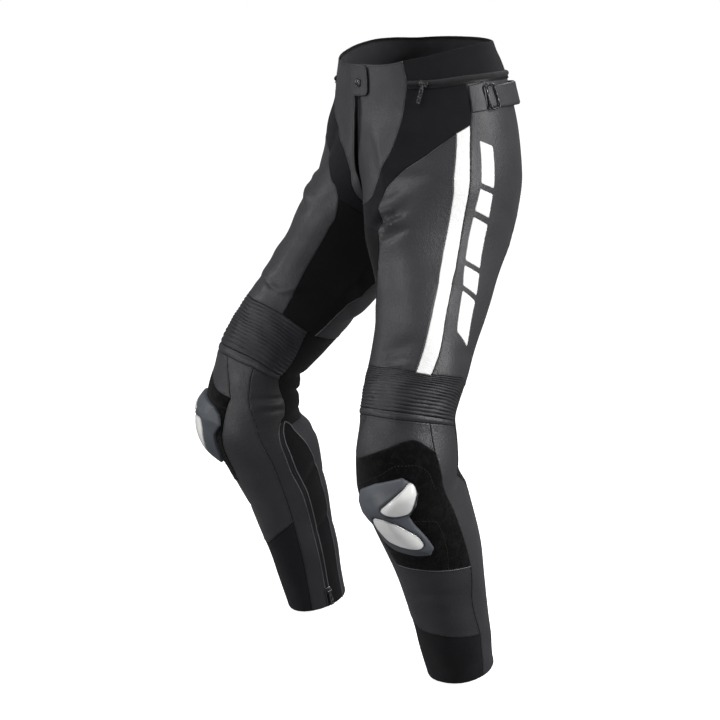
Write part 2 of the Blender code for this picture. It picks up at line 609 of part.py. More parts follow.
def fly():
    """The fly zip's strip: a left half, its mirror image, and the middle line."""
    alongs = np.linspace(SEAM_GAP, FLY_END - FLY_TAIL, 12)
    angle = centre(alongs)
    beside = angle + FLY_ANGLE * 0.86
    rows = []
    for lift in (-0.0006, -0.0018):
        edge = place("left", beside, alongs, lift)
        middle = place("left", angle, alongs, lift)
        middle[:, 0] = 0
        rows.append(np.stack((edge * (-1, 1, 1), middle, edge), axis=1))
    return grid_wall("fly_zip", "left", rows[0], rows[1], "zip")


KNEE_SLIDER = ((-24, 0.626), (-3, 0.619), (30, 0.613), (41, 0.619), (45, 0.629), (40, 0.640),
               (27, 0.651), (28, 0.665), (34, 0.689), (37, 0.707), (31, 0.717), (14, 0.714),
               (-9, 0.703), (-21, 0.688), (-24, 0.663), (-36, 0.650), (-34, 0.637))
SLIDER_EDGE, SLIDER_DOME, SLIDER_RAMP = 0.006, 0.020, 0.026
SLIDER_STEP = 0.011            # between two points of its outline
INNER_SIDE = (-36, 8, 0.4)     # first and last angle of its thinner part, and how thin
LOWER_END = (0.660, 0.715, 0.5)    # first and last along of the same at the lower end


def rising(x, start, end):
    """0 up to start, 1 from end on, with an even ramp between."""
    return np.clip((np.asarray(x) - start) / (end - start), 0, 1)


def knee_slider(side):
    """The hard knee slider: a plate on the hook pad, thickest on the kneecap."""
    loop = thinned(list(KNEE_SLIDER) + [KNEE_SLIDER[0]], side, SLIDER_STEP)[:-1]

    def height(spots, away):
        rounded = np.sin(rising(away, 0, SLIDER_RAMP) * math.pi / 2)
        first, last, thin = INNER_SIDE
        inner = thin + (1 - thin) * rising(spots[:, 0], first, last)
        first, last, thin = LOWER_END
        lower = 1 - thin * rising(spots[:, 1], first, last)
        return SLIDER_EDGE + (SLIDER_DOME - SLIDER_EDGE) * rounded * inner * lower

    lying = LIFTS["knee_pad"] + LIE_GAP
    return cloth(f"knee_slider_{side}", side, loop, "slider plastic", height, lying,
                 step=FINE_STEP, gap=0.0)


WAIST_ZIP_HALF, WAIST_ZIP_TOP = 0.0045, 0.0022     # half width, lift of its outer face


def waist_zip(side):
    """The zip that joins a jacket, a flat strip along the waistband's lower edge."""
    runs = [seam(f"waist zip {part}", side, step=0.012) for part in ("front", "side", "back")]
    line = np.concatenate([run[:-1] for run in runs] + [runs[-1][-1:]])
    alongs = line[:, 1] + np.array((-WAIST_ZIP_HALF, 0, WAIST_ZIP_HALF))[:, None]
    angles = np.broadcast_to(line[:, 0], alongs.shape)
    faces = [place(side, angles, alongs, lift) for lift in (WAIST_ZIP_TOP, LIE_GAP)]
    for face in faces:
        face[..., 0] = np.maximum(face[..., 0], SEAM_GAP / 2)
    return grid_wall(f"waist_zip_{side}", side, faces[0], faces[1], "zip")


STRAP = (STRAP_ENDS[0][0], STRAP_ENDS[1][1])    # angles at its ends
STRAP_WIDTH, STRAP_WALL = 0.031, 0.0030
STRAP_START, STRAP_DROP = 0.061, 0.016    # along at its front end, and how much lower it ends
BOW_START, BOW_HEIGHT = 0.13, 0.0065      # share of its length that lies flat, and its bow
PATCH_TOP = 0.0024      # outer face of a leather patch that lies on the cloth
SNAP_TAB = (-34, 11, -0.003, 0.042)        # first and last angle, top and bottom along


def strap_base(side):
    first, last, top, bottom = STRAP_BASE
    angles, alongs = np.meshgrid(np.linspace(first, last, 4), np.linspace(top, bottom, 5))
    return patch(f"strap_base_{side}", side, angles, alongs, "leather", LIE_GAP, PATCH_TOP)


def strap(side):
    """The waist adjuster's strap, bowed off the hip between its two ends."""
    angles, share = np.meshgrid(np.linspace(*STRAP, 15), np.linspace(-0.5, 0.5, 5))
    t = (angles - STRAP[0]) / (STRAP[1] - STRAP[0])
    alongs = STRAP_START + STRAP_DROP * t + STRAP_WIDTH * share
    bow = LIE_GAP + BOW_HEIGHT * np.sin(math.pi * rising(t, BOW_START, 1))**2
    return patch(f"strap_{side}", side, angles, alongs, "leather", bow, bow + STRAP_WALL)


def snap_tab():
    """The waist tab that closes over the fly, in one piece across the middle."""
    first, last, top, bottom = SNAP_TAB
    angles, alongs = np.meshgrid(np.linspace(first, last, 11), np.linspace(top, bottom, 4))
    return patch("snap_tab", "left", angles, alongs, "leather", LIE_GAP, PATCH_TOP)


# ---- hard pieces ---------------------------------------------------------
def mounting(side, angle, along, lift, turn=0.0):
    """World matrix of a spot on the cloth: X round the leg, Y up it, Z outwards."""
    spot = place(side, angle, along, lift)
    there = slid(side, along)
    out = outward_normal(np.float64(angle), there)
    around = section_point(angle + 0.5, there) - section_point(angle - 0.5, there)
    if side == "right":
        spot, out, around = (v * (-1, 1, 1) for v in (spot, out, around))
        around = -around
    around = unit(around)
    frame = Matrix(np.stack((around, np.cross(out, around), out), axis=1).tolist()).to_4x4()
    return Matrix.Translation(spot.tolist()) @ frame @ Matrix.Rotation(math.radians(turn), 4, "Z")


def box(centre_at, size, matrix):
    """A plain box as a mesh object, placed in a spot's own axes."""
    mesh = bpy.data.meshes.new("box")
    shape = bmesh.new()
    bmesh.ops.create_cube(shape, size=1.0, matrix=Matrix.Diagonal((*size, 1)))
    bmesh.ops.translate(shape, verts=shape.verts, vec=centre_at)
    shape.transform(matrix)
    shape.to_mesh(mesh)
    shape.free()
    thing = bpy.data.objects.new("box", mesh)
    trousers.objects.link(thing)
    return thing


def rod(centre_at, radius, length, matrix, sides=12):
    """A rod along a spot's own X axis."""
    mesh = bpy.data.meshes.new("rod")
    shape = bmesh.new()
    bmesh.ops.create_cone(shape, cap_ends=True, segments=sides, radius1=radius, radius2=radius,
                          depth=length, matrix=Matrix.Rotation(math.pi / 2, 4, "Y"))
    bmesh.ops.translate(shape, verts=shape.verts, vec=centre_at)
    shape.transform(matrix)
    shape.to_mesh(mesh)
    shape.free()
    thing = bpy.data.objects.new("rod", mesh)
    trousers.objects.link(thing)
    return thing


def united(name, pieces, colour):
    """Several overlapping meshes made one solid."""
    body = pieces[0]
    for piece in pieces[1:]:
        union = body.modifiers.new("union", "BOOLEAN")
        union.operation = "UNION"
        union.object = piece
    evaluated = body.evaluated_get(bpy.context.evaluated_depsgraph_get())
    mesh = bpy.data.meshes.new_from_object(evaluated)
    mesh.name = name
    for piece in pieces:
        bpy.data.objects.remove(piece)
    return finish_object(bpy.data.objects.new(name, mesh), colour)


PULL_WIDTH, PULL_WALL = 0.006, 0.0012
WAIST_PULL, CALF_PULL = 0.030, 0.025      # lengths of the pulls from their axles
AXLE_RADIUS, EYE_RADIUS, EYE_HOLE = 0.00075, 0.0019, 0.00105
AXLE_HEIGHT = 0.0046     # of the pull's axle over the slider's underside
SLIDER_BODY = 0.0024     # thickness
WAIST_SLIDER, CALF_SLIDER = (0.012, 0.0085), (0.0085, 0.012)    # sizes across and up
EAR_GAP, EAR_WALL = 0.0003, 0.0012        # beside the pull
EAR_LENGTH, EAR_TOP = 0.0034, 0.0012      # up the cloth, and over the axle
WAIST_TURN = -22         # degrees from plumb, in which the waist pull hangs
WAIST_LEAN = 8           # degrees that the waist pull leans in, resting on the cloth
CALF_LEAN = -2.9         # the calf pulls hang plumb, a little off the cloth


def zip_slider(name, matrix, size):
    """A zip's slider: a body with two ears that hold the pull's axle."""
    ear = PULL_WIDTH / 2 + EAR_GAP
    pieces = [box((0, 0, SLIDER_BODY / 2), (*size, SLIDER_BODY), matrix)]
    for sign in (-1, 1):
        foot, top = SLIDER_BODY / 2, AXLE_HEIGHT + EAR_TOP
        middle = (sign * (ear + EAR_WALL / 2), 0, (foot + top) / 2)
        pieces.append(box(middle, (EAR_WALL, EAR_LENGTH, top - foot), matrix))
    pieces.append(rod((0, 0, AXLE_HEIGHT), AXLE_RADIUS, 2 * ear + EAR_WALL, matrix))
    return united(name, pieces, "metal")


def zip_pull(name, matrix, lean, length):
    """A zip's pull tab: an eye round the axle and a plate, cut as one profile, and
    leaning in towards the cloth by some degrees."""
    across, count = PULL_WALL / 2, 16
    start = math.asin(across / EYE_RADIUS)
    turns = np.linspace(start, 2 * math.pi - start, count)
    profile = [(-EYE_RADIUS * math.cos(t), EYE_RADIUS * math.sin(t)) for t in turns]
    profile += [(-length, -across), (-length, across)]
    hole = [(EYE_HOLE * math.cos(t), EYE_HOLE * math.sin(t))
            for t in np.linspace(0, 2 * math.pi, 13)[:-1]]
    curve = bpy.data.curves.new(name, "CURVE")
    curve.dimensions = "2D"
    curve.fill_mode = "BOTH"
    curve.extrude = PULL_WIDTH / 2
    for loop in (profile, hole):
        spline = curve.splines.new("POLY")
        spline.points.add(len(loop) - 1)
        for point, (x, y) in zip(spline.points, loop):
            point.co = (x, y, 0, 1)
        spline.use_cyclic_u = True
    cut = bpy.data.objects.new(name, curve)
    trousers.objects.link(cut)
    evaluated = cut.evaluated_get(bpy.context.evaluated_depsgraph_get())
    mesh = bpy.data.meshes.new_from_object(evaluated)
    bpy.data.objects.remove(cut)
    shape = bmesh.new()
    shape.from_mesh(mesh)
    bmesh.ops.remove_doubles(shape, verts=shape.verts, dist=1e-6)
    shape.to_mesh(mesh)
    shape.free()
    # The profile's x runs up the cloth, its y outwards and its extrusion across.
    stand = Matrix(((0, 0, 1, 0), (1, 0, 0, 0), (0, 1, 0, 0), (0, 0, 0, 1)))
    tilt = Matrix.Rotation(math.radians(lean), 4, "X")
    pull = bpy.data.objects.new(name, mesh)
    pull.matrix_world = matrix @ Matrix.Translation((0, 0, AXLE_HEIGHT)) @ tilt @ stand
    return finish_object(pull, "metal")


RING_AT = (95, 0.062)   # angle and along of its middle
RING_LENGTH, RING_WIDTH, RING_WIRE, RING_CORNER = 0.036, 0.017, 0.0015, 0.004
RING_GAP = 0.0008       # under the middle of the flat ring, on the curved strap


def ring(side):
    """The adjuster's rectangular ring, a bent wire lying on the strap."""
    matrix = mounting(side, *RING_AT, LIE_GAP + STRAP_WALL + RING_GAP + RING_WIRE)
    curve = bpy.data.curves.new(f"strap_ring_{side}", "CURVE")
    curve.dimensions = "3D"
    curve.bevel_depth = RING_WIRE
    curve.bevel_resolution = 2
    loop = []
    for k, (sx, sy) in enumerate(((1, 1), (-1, 1), (-1, -1), (1, -1))):
        for turn in (0, 45, 90):
            t = math.radians(90 * k + turn)
            loop.append((sx * (RING_WIDTH / 2 - RING_CORNER) + RING_CORNER * math.cos(t),
                         sy * (RING_LENGTH / 2 - RING_CORNER) + RING_CORNER * math.sin(t)))
    spline = curve.splines.new("POLY")
    spline.points.add(len(loop) - 1)
    for point, (x, y) in zip(spline.points, loop):
        point.co = (x, y, 0, 1)
    spline.use_cyclic_u = True
    thing = bpy.data.objects.new(f"strap_ring_{side}", curve)
    thing.matrix_world = matrix
    return finish_object(thing, "metal")


SNAP_AT, SNAP_RADII, SNAP_HEIGHT = (2.5, 0.022), (0.0066, 0.0052), 0.0020


def snap():
    """The waist snap's cap, a low cone on the tab."""
    mesh = bpy.data.meshes.new("snap")
    shape = bmesh.new()
    bmesh.ops.create_cone(shape, cap_ends=True, segments=24, radius1=SNAP_RADII[0],
                          radius2=SNAP_RADII[1], depth=SNAP_HEIGHT,
                          matrix=Matrix.Translation((0, 0, SNAP_HEIGHT / 2)))
    shape.to_mesh(mesh)
    shape.free()
    cap = bpy.data.objects.new("snap", mesh)
    cap.matrix_world = mounting("left", *SNAP_AT, PATCH_TOP + LIE_GAP)
    return finish_object(cap, "metal")


# ---- the whole garment ---------------------------------------------------
def make_material(name):
    colour, roughness, metallic = COLOURS[name]
    material = bpy.data.materials.new(name)
    material.use_nodes = True
    shader = material.node_tree.nodes["Principled BSDF"]
    shader.inputs["Base Color"].default_value = (*colour, 1)
    shader.inputs["Roughness"].default_value = roughness
    shader.inputs["Metallic"].default_value = metallic
    return material


for leftover in list(bpy.data.objects):
    bpy.data.objects.remove(leftover)
trousers = bpy.data.collections.new("motorcycle_trousers")
bpy.context.scene.collection.children.link(trousers)
materials = {name: make_material(name) for name in COLOURS}

WAIST_PULL_AT = (50, 0.028)      # angle and along of the waist zip's slider
CALF_PULL_AT = (-109.3, 0.955)   # the same on the calf zips

for leg in ("left", "right"):
    for piece, (stuff, seams) in PIECES.items():
        top = LIFTS.get(piece, 0.0)
        thickness = STRETCH if stuff == "stretch" else LEATHER
        cloth(f"{piece}_{leg}", leg, outline(seams, leg), stuff, top, top - thickness)
    ribs(leg)
    knee_slider(leg)
    waist_zip(leg)
    strap_base(leg)
    strap(leg)
    ring(leg)
    calf_spot = mounting(leg, *CALF_PULL_AT, LIFTS["calf_zip"] + LIE_GAP)
    zip_slider(f"calf_slider_{leg}", calf_spot, CALF_SLIDER)
    zip_pull(f"calf_pull_{leg}", calf_spot, CALF_LEAN, CALF_PULL)
fly()
snap_tab()
snap()
waist_spot = mounting("left", *WAIST_PULL_AT, WAIST_ZIP_TOP + LIE_GAP, WAIST_TURN)
zip_slider("waist_slider", waist_spot, WAIST_SLIDER)
zip_pull("waist_pull", waist_spot, WAIST_LEAN, WAIST_PULL)
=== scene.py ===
"""Looks of the leather motorcycle trousers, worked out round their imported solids.

Metres, in the solids' own frame: +X the wearer's left, -Y the front, +Z up.  The
worn shape is one surface of two parameters for each leg, the pattern coordinates:
    angle  degrees round the leg: 0 front, 90 outer side, 180 back, -90 inseam
    along  metres down the leg from the waist's top edge to the hem
Seams are curves in them, a panel is what lies between its seams, and thread, zip
teeth, piping and bars follow the same surface at a height of their own.  Both
legs are worked out as the left one, and the right one is mirrored.
"""
import math
from types import SimpleNamespace

import bpy
import numpy as np
from mathutils import Matrix, Vector
from mathutils.geometry import delaunay_2d_cdt


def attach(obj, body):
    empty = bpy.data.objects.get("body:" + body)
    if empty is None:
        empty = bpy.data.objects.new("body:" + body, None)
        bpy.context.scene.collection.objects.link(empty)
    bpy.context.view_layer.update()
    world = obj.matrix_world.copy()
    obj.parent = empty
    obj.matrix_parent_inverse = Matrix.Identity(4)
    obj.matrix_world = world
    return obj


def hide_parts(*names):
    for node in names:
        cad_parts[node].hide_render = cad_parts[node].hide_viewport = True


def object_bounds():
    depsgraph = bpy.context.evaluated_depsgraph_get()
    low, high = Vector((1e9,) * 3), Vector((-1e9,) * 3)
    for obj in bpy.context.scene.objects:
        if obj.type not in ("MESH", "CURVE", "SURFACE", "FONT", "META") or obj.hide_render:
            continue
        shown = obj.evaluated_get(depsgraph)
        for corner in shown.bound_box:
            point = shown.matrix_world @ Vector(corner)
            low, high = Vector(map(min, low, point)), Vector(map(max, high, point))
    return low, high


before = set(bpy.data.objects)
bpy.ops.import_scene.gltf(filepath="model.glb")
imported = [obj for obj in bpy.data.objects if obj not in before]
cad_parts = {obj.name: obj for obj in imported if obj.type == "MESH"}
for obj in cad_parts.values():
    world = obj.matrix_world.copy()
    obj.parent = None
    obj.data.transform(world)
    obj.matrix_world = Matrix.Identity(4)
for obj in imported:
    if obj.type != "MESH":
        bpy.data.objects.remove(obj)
solid_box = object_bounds()
LEGS = ("left", "right")
BODY = "trousers"

# ---- driving sizes, those of the solids ----------------------------------
LEATHER = 0.0014         # wall of the leather pieces
STRETCH = 0.0012         # wall of the woven stretch pieces
SEAM_GAP = 0.0003        # between two pieces at their seam
SHELL_GAP = 0.00003      # the same on each edge of a shell, so that no light comes through
LIE_GAP = 0.0006         # under a piece that lies on another
CROTCH = 0.275           # along, where the legs part
TURN_LENGTH = 0.18       # below the crotch, in which the sections turn square to the leg
BEND_REACH = 0.035       # each way along the leg, between which its direction is read
SQUARENESS = 0.03        # how much fuller than an ellipse a section is at its corners
HEM = 0.980              # along, at the lower edge
FLY_END = 0.168          # along, at the lower end of the fly's slot
FLY_TAIL = 0.004         # of that slot, below the end of its zip
FLY_TOP = -0.0050        # along, at the upper end of its zip
FLY_LIFTS = (-0.0017, -0.0029)    # of the two faces of its tape
FLY_HALF_WIDTH = 0.0026
RIB_COUNT = 14
RIB_HEIGHT = 0.0018

# ---- finer sizes ---------------------------------------------------------
CUT_STEP = 0.0035        # between two points on a seam
CLOTH_STEP = 0.0056      # between two points inside a panel
FINE_STEP = 0.0022       # between two points round the knee slider or an inlay
GROOVE_STEP = 0.002      # between two points on a sewn line that a groove is measured from
LINE_STEP = 0.004        # between two points on a cord or along a tape
ROWS_IN = (0.0005, 0.0011, 0.0020, 0.0036)   # rows of points behind a panel's edge
LEATHER_ROLL = (0.0015, 0.0010)   # a turned edge: how wide it rolls over, and how deep
STRETCH_ROLL = (0.0011, 0.0007)
SEAM_RIDGE = 0.0004      # how far the turned-in allowance stands proud beside a seam
RIDGE_REACH = (0.0040, 0.0072)    # distances from the seam between which that fades
PUCKER_HEIGHT = 0.00020  # of the ripples that sewing leaves beside a seam
PUCKER_LENGTH = 0.0115
PUCKER_REACH = 0.0070
PUCKER_WANDER = ((1.6, 0.083), (1, 0.037))    # how far their sine is turned, over what length
SOFT_PUCKERS = 0.6       # share of them that stretch cloth shows
SWELL_HEIGHT = 0.0011    # of the wide soft waves of worn leather
FLAP_RISE = 0.0030       # of the fly's covering edge over its other side
FLAP_FADE = (0.012, 0.036)        # away from the middle, where that rise fades
FLAP_END = (0.130, 0.172)         # and along, the same
PAD_PILLOW, PAD_REACH = 0.0006, 0.007    # how much the knee pad swells, how far from its edge
GROOVE_DEPTH, GROOVE_WIDTH = 0.0009, 0.0022      # of the knee pad's sewn lines
WELT_ROUND, WELT_REACH = 0.0009, (0.001, 0.004)   # its round back, and where that rises
RIB_ROWS, RIB_STEP = 10, 0.0042   # rows of points for each rib, and between two columns
RIB_POWER = 0.6          # of the sine; the less, the rounder the ribs
RIB_WEAR = (0.45, 0.50, 0.13)     # flattening in front: how much, share round, how wide
RIB_WANDER = 0.0035      # share of the band by which a rib strays from an even spacing
RIB_SINK, RIB_END_SINK = 0.0003, 0.0006      # of the grooves, and of the band's two ends
RIB_SHADE = 0.0036       # distance from a seam that a rib's top counts as; its grooves count as on the seam and get painted shade
THREAD_RADIUS = 0.00027
STITCH_PITCH = 0.0038
STITCH_LENGTH = 0.0030
STITCH_DIP = 0.0004      # of its ends into the leather
STITCH_INSET = 0.0027    # of the sewing from a panel's edge
STITCH_LIFT = 0.00005    # of its middle over the leather
WELT_STITCHES = 0.0005   # lift of those along the welts
PAD_STITCH_PITCH = 0.0048
PAD_THREAD = (0.0042, 0.00042, 0.0006)     # the pad's own stitch: length, radius and dip
PAD_STITCH_LIFT = 0.0001
CORD_SIDES, WIRE_SIDES = 8, 12    # of the piping's and of the ring's round section

COLUMNS = ("along", "out", "fore", "down", "reach", "front", "back", "yaw", "tip", "groin")
SECTIONS = {
    "waist":     (0.000, 0.000, -0.002, -0.004, 0.134, 0.122, 0.084, 0, 11, 0.00),
    "band":      (0.045, 0.000, -0.002, 0.043, 0.146, 0.121, 0.108, 0, 9, 0.00),
    "hip top":   (0.110, 0.024, 0.002, 0.110, 0.164, 0.117, 0.122, 0, 4, 0.10),
    "hip":       (0.170, 0.052, 0.012, 0.171, 0.170, 0.116, 0.132, 0, 0, 0.20),
    "seat":      (0.225, 0.074, 0.032, 0.222, 0.172, 0.114, 0.138, 0, -5, 0.35),
    "low seat":  (0.255, 0.083, 0.044, 0.252, 0.173, 0.109, 0.134, 0, -9, 0.45),
    "crotch":    (0.275, 0.088, 0.052, 0.270, 0.176, 0.106, 0.129, 0, -11, 0.60),
    "thigh":     (0.360, 0.135, 0.088, 0.345, 0.211, 0.087, 0.097, 8, -12, 0.75),
    "mid thigh": (0.460, 0.174, 0.133, 0.424, 0.246, 0.0765, 0.075, 14, -12, 0.44),
    "knee top":  (0.560, 0.199, 0.170, 0.505, 0.268, 0.070, 0.066, 18, -12, 0.10),
    "kneecap":   (0.605, 0.203, 0.172, 0.544, 0.274, 0.078, 0.067, 19, -12, 0.00),
    "knee":      (0.640, 0.204, 0.172, 0.576, 0.276, 0.0775, 0.068, 20, -12, 0.00),
    "calf top":  (0.700, 0.202, 0.150, 0.634, 0.273, 0.070, 0.078, 22, -12, 0.00),
    "calf":      (0.780, 0.201, 0.120, 0.708, 0.267, 0.062, 0.070, 22, -12, 0.00),
    "low calf":  (0.870, 0.198, 0.094, 0.794, 0.256, 0.054, 0.058, 22, -12, 0.00),
    "hem":       (HEM, 0.194, 0.066, 0.896, 0.244, 0.047, 0.049, 22, -12, 0.00),
}
# Along on the pattern, and where that comes on the left and on the right leg.
SLIDE = {
    "waist":       (0.000, 0.000, 0.000),
    "upper thigh": (0.300, 0.300, 0.300),
    "ribs start":  (0.476, 0.502, 0.450),
    "ribs end":    (0.540, 0.549, 0.531),
    "knee":        (0.656, 0.675, 0.637),
    "cuff":        (0.868, 0.887, 0.849),
    "hem":         (HEM, HEM, HEM),
}
# Folds and creases: the leg they are on, angle and along of the middle, turn of
# the line (0 runs down the leg, 90 round it), half length, half width, height.
FOLD_COLUMNS = ("leg", "angle", "along", "turn", "length", "width", "height")
FOLDS = {
    "groin ridge":        ("both", 20, 0.218, 118, 0.034, 0.009, 0.0040),
    "groin trough":       ("both", 20, 0.242, 114, 0.030, 0.008, -0.0035),
    "hip crease":         ("both", 34, 0.172, 98, 0.030, 0.010, -0.0025),
    "above ribs":         ("both", 14, 0.452, 110, 0.034, 0.009, -0.0030),
    "seat crease":        ("both", 196, 0.300, 84, 0.052, 0.011, -0.0040),
    "back of thigh":      ("both", 214, 0.420, 70, 0.040, 0.010, -0.0035),
    "knee pit high":      ("both", 200, 0.535, 86, 0.050, 0.010, -0.0050),
    "knee pit low":       ("both", 192, 0.590, 94, 0.052, 0.010, -0.0055),
    "calf crease":        ("both", 186, 0.640, 84, 0.046, 0.010, -0.0040),
    "left groin line":    ("left", 19, 0.248, 118, 0.028, 0.0055, -0.0050),
    "left groin low":     ("left", 23, 0.260, 126, 0.026, 0.0055, 0.0058),
    "left groin dip":     ("left", 28, 0.273, 124, 0.024, 0.0055, -0.0042),
    "left groin high":    ("left", 19, 0.231, 116, 0.028, 0.006, 0.0028),
    "left ribs ridge":    ("left", 4, 0.462, 97, 0.022, 0.004, 0.0026),
    "left ribs ridge 2":  ("left", 22, 0.474, 101, 0.024, 0.003, 0.0020),
    "left ribs dip":      ("left", 16, 0.466, 100, 0.020, 0.003, -0.0016),
    "left thigh inside":  ("left", -30, 0.340, 16, 0.060, 0.012, 0.0020),
    "right hip ridge":    ("right", 32, 0.184, 100, 0.024, 0.007, 0.0022),
    "right hip dip":      ("right", 26, 0.153, 83, 0.020, 0.005, -0.0018),
    "right ribs ridge":   ("right", -4, 0.432, 98, 0.024, 0.0045, 0.0030),
    "right ribs dip":     ("right", 0, 0.444, 100, 0.022, 0.005, -0.0022),
    "right ribs ridge 2": ("right", -30, 0.418, 25, 0.018, 0.005, 0.0028),
    "right inner ridge":  ("right", -100, 0.366, 130, 0.030, 0.006, 0.0030),
    "right inner dip":    ("right", -104, 0.396, 126, 0.026, 0.006, -0.0024),
    "knee side crease":   ("both", -92, 0.598, 88, 0.026, 0.005, -0.0028),
    "knee side ridge":    ("both", -94, 0.612, 88, 0.022, 0.005, 0.0018),
    "knee side crease 2": ("both", -97, 0.626, 86, 0.020, 0.005, -0.0022),
    "shin crease":        ("left", 20, 0.792, 84, 0.030, 0.006, -0.0016),
    "shin ridge":         ("left", 12, 0.810, 80, 0.028, 0.006, 0.0016),
    "shin crease right":  ("right", 6, 0.800, 96, 0.026, 0.007, -0.0016),
    "calf back crease":   ("both", 172, 0.720, 102, 0.034, 0.008, -0.0022),
    "calf back crease 2": ("both", 196, 0.790, 82, 0.030, 0.008, -0.0020),
    "calf back crease 3": ("both", 168, 0.870, 96, 0.026, 0.007, -0.0020),
    "side calf crease":   ("both", 104, 0.640, 100, 0.018, 0.006, -0.0022),
    "gusset crease":      ("both", 228, 0.760, 60, 0.026, 0.006, -0.0022),
    "gusset crease 2":    ("both", 226, 0.850, 64, 0.026, 0.006, -0.0022),
    "seat sag":           ("both", 206, 0.335, 96, 0.044, 0.010, -0.0034),
    "seat sag 2":         ("both", 176, 0.362, 80, 0.036, 0.009, -0.0030),
    "back thigh crease":  ("both", 170, 0.432, 96, 0.034, 0.008, -0.0032),
    "side thigh crease":  ("both", 112, 0.424, 108, 0.030, 0.008, -0.0020),
    "side hip crease":    ("both", 128, 0.236, 62, 0.040, 0.010, -0.0020),
    "front middle left":  ("left", 12, 0.150, 6, 0.046, 0.009, 0.0030),
    "front middle right": ("right", 16, 0.120, 2, 0.046, 0.009, -0.0022),
    "band crease":        ("both", 120, 0.022, 104, 0.040, 0.009, -0.0014),
}
# Places that hard or lying pieces need even: angle, along, and how far it reaches.
QUIET = ((50, 0.034, 0.032), (84, 0.060, 0.036), (108, 0.066, 0.045), (140, 0.070, 0.045),
         (160, 0.076, 0.036), (0, 0.020, 0.050), (-20, 0.020, 0.040), (-109, 0.950, 0.034),
         (5, 0.660, 0.062), (100, 0.050, 0.040))


# ---- the worn shape ------------------------------------------------------
def smooth(x, xs, ys):
    """Monotone cubic through the points (xs, ys): Hermite pieces whose slopes are
    weighted harmonic means of the chords beside them, or 0 at a turn."""
    xs, ys = np.asarray(xs, float), np.asarray(ys, float)
    width = np.diff(xs)
    slope = np.diff(ys) / width
    tangent = np.zeros_like(ys)
    left, right = slope[:-1], slope[1:]
    same = left * right > 0
    weight_left = 2 * width[1:] + width[:-1]
    weight_right = width[1:] + 2 * width[:-1]
    total = weight_left + weight_right
    mean = total[same] / (weight_left[same] / left[same] + weight_right[same] / right[same])
    tangent[1:-1][same] = mean
    tangent[0], tangent[-1] = slope[0], slope[-1]
    x = np.asarray(x, float)
    i = np.clip(np.searchsorted(xs, x) - 1, 0, len(xs) - 2)
    t = (x - xs[i]) / width[i]
    return ((2 * t**3 - 3 * t**2 + 1) * ys[i] + (t**3 - 2 * t**2 + t) * width[i] * tangent[i]
            + (3 * t**2 - 2 * t**3) * ys[i + 1] + (t**3 - t**2) * width[i] * tangent[i + 1])


SECTION_ROWS = np.array(list(SECTIONS.values()), float)
SLIDE_ROWS = np.array(list(SLIDE.values()), float)


def column(name, along):
    """One column of the section table, read anywhere along the leg."""
    return smooth(along, SECTION_ROWS[:, 0], SECTION_ROWS[:, COLUMNS.index(name)])


def slid(side, along):
    """Where a place on the pattern comes on this leg."""
    return smooth(along, SLIDE_ROWS[:, 0], SLIDE_ROWS[:, 1 if side == "left" else 2])


def half_width(along):
    return column("reach", along) - column("out", along)


def unit(vectors):
    return vectors / np.linalg.norm(vectors, axis=-1, keepdims=True)


def rising(x, start, end):
    """0 before start, 1 after end, and 3 t^2 - 2 t^3 between them."""
    t = np.clip((np.asarray(x, float) - start) / (end - start), 0, 1)
    return t * t * (3 - 2 * t)


def centre_line(along):
    parts = column("out", along), -column("fore", along), -column("down", along)
    return np.stack(parts, axis=-1)


def section_point(angle, along):
    """The bare surface: an ellipse with full corners, centre + half width x sine
    to the side - depth x cosine to the back, in a plane that tips with the hips
    above the crotch and turns square to the leg below it."""
    angle, along = np.broadcast_arrays(np.asarray(angle, float), np.asarray(along, float))
    angle = np.radians(angle)
    above, below = np.maximum(along - BEND_REACH, 0), np.minimum(along + BEND_REACH, HEM)
    leg = unit(centre_line(above) - centre_line(below))
    tip = np.radians(column("tip", along))
    hips = np.stack((0 * tip, -np.sin(tip), np.cos(tip)), axis=-1)
    turn = rising(along, CROTCH, CROTCH + TURN_LENGTH)[..., None]
    upward = unit(hips * (1 - turn) + leg * turn)
    yaw = np.radians(column("yaw", along)) * turn[..., 0]
    back = np.stack((-np.sin(yaw), np.cos(yaw), 0 * yaw), axis=-1)
    back = unit(back - (back * upward).sum(-1, keepdims=True) * upward)
    outward = np.cross(back, upward)
    depth = np.where(np.cos(angle) > 0, column("front", along), column("back", along))
    hollow = (np.sin(angle) < 0) & (np.cos(angle) > 0)
    depth = depth * (1 - column("groin", along) * np.where(hollow, np.sin(angle)**2, 0))
    depth = depth * (1 + SQUARENESS * (1 - np.cos(4 * angle)) / 2)
    across = half_width(along) * np.sin(angle)
    return (centre_line(along) + across[..., None] * outward
            - (depth * np.cos(angle))[..., None] * back)


def outward_normal(angle, along):
    """Unit normal: the cross product of two small differences of the surface."""
    around = section_point(angle + 0.5, along) - section_point(angle - 0.5, along)
    down = section_point(angle, along + 0.001) - section_point(angle, along - 0.001)
    return unit(np.cross(down, around))


def mean_radius(along):
    return (half_width(along) + (column("front", along) + column("back", along)) / 2) / 2


def flat(angle, along):
    """Pattern coordinates to a nearly undistorted plane, in metres: the angle
    times the leg's mean radius there, and along."""
    return np.stack((np.radians(angle) * mean_radius(along), np.asarray(along, float)), -1)


def unflat(points):
    return np.stack((np.degrees(points[:, 0] / mean_radius(points[:, 1])), points[:, 1]), -1)


def offsets(angle, along, spot):
    """How far places lie across and down the pattern from a spot, in metres."""
    shift = (np.asarray(angle) - spot[0] + 180) % 360 - 180
    return np.radians(shift) * mean_radius(spot[1]), np.asarray(along) - spot[1]


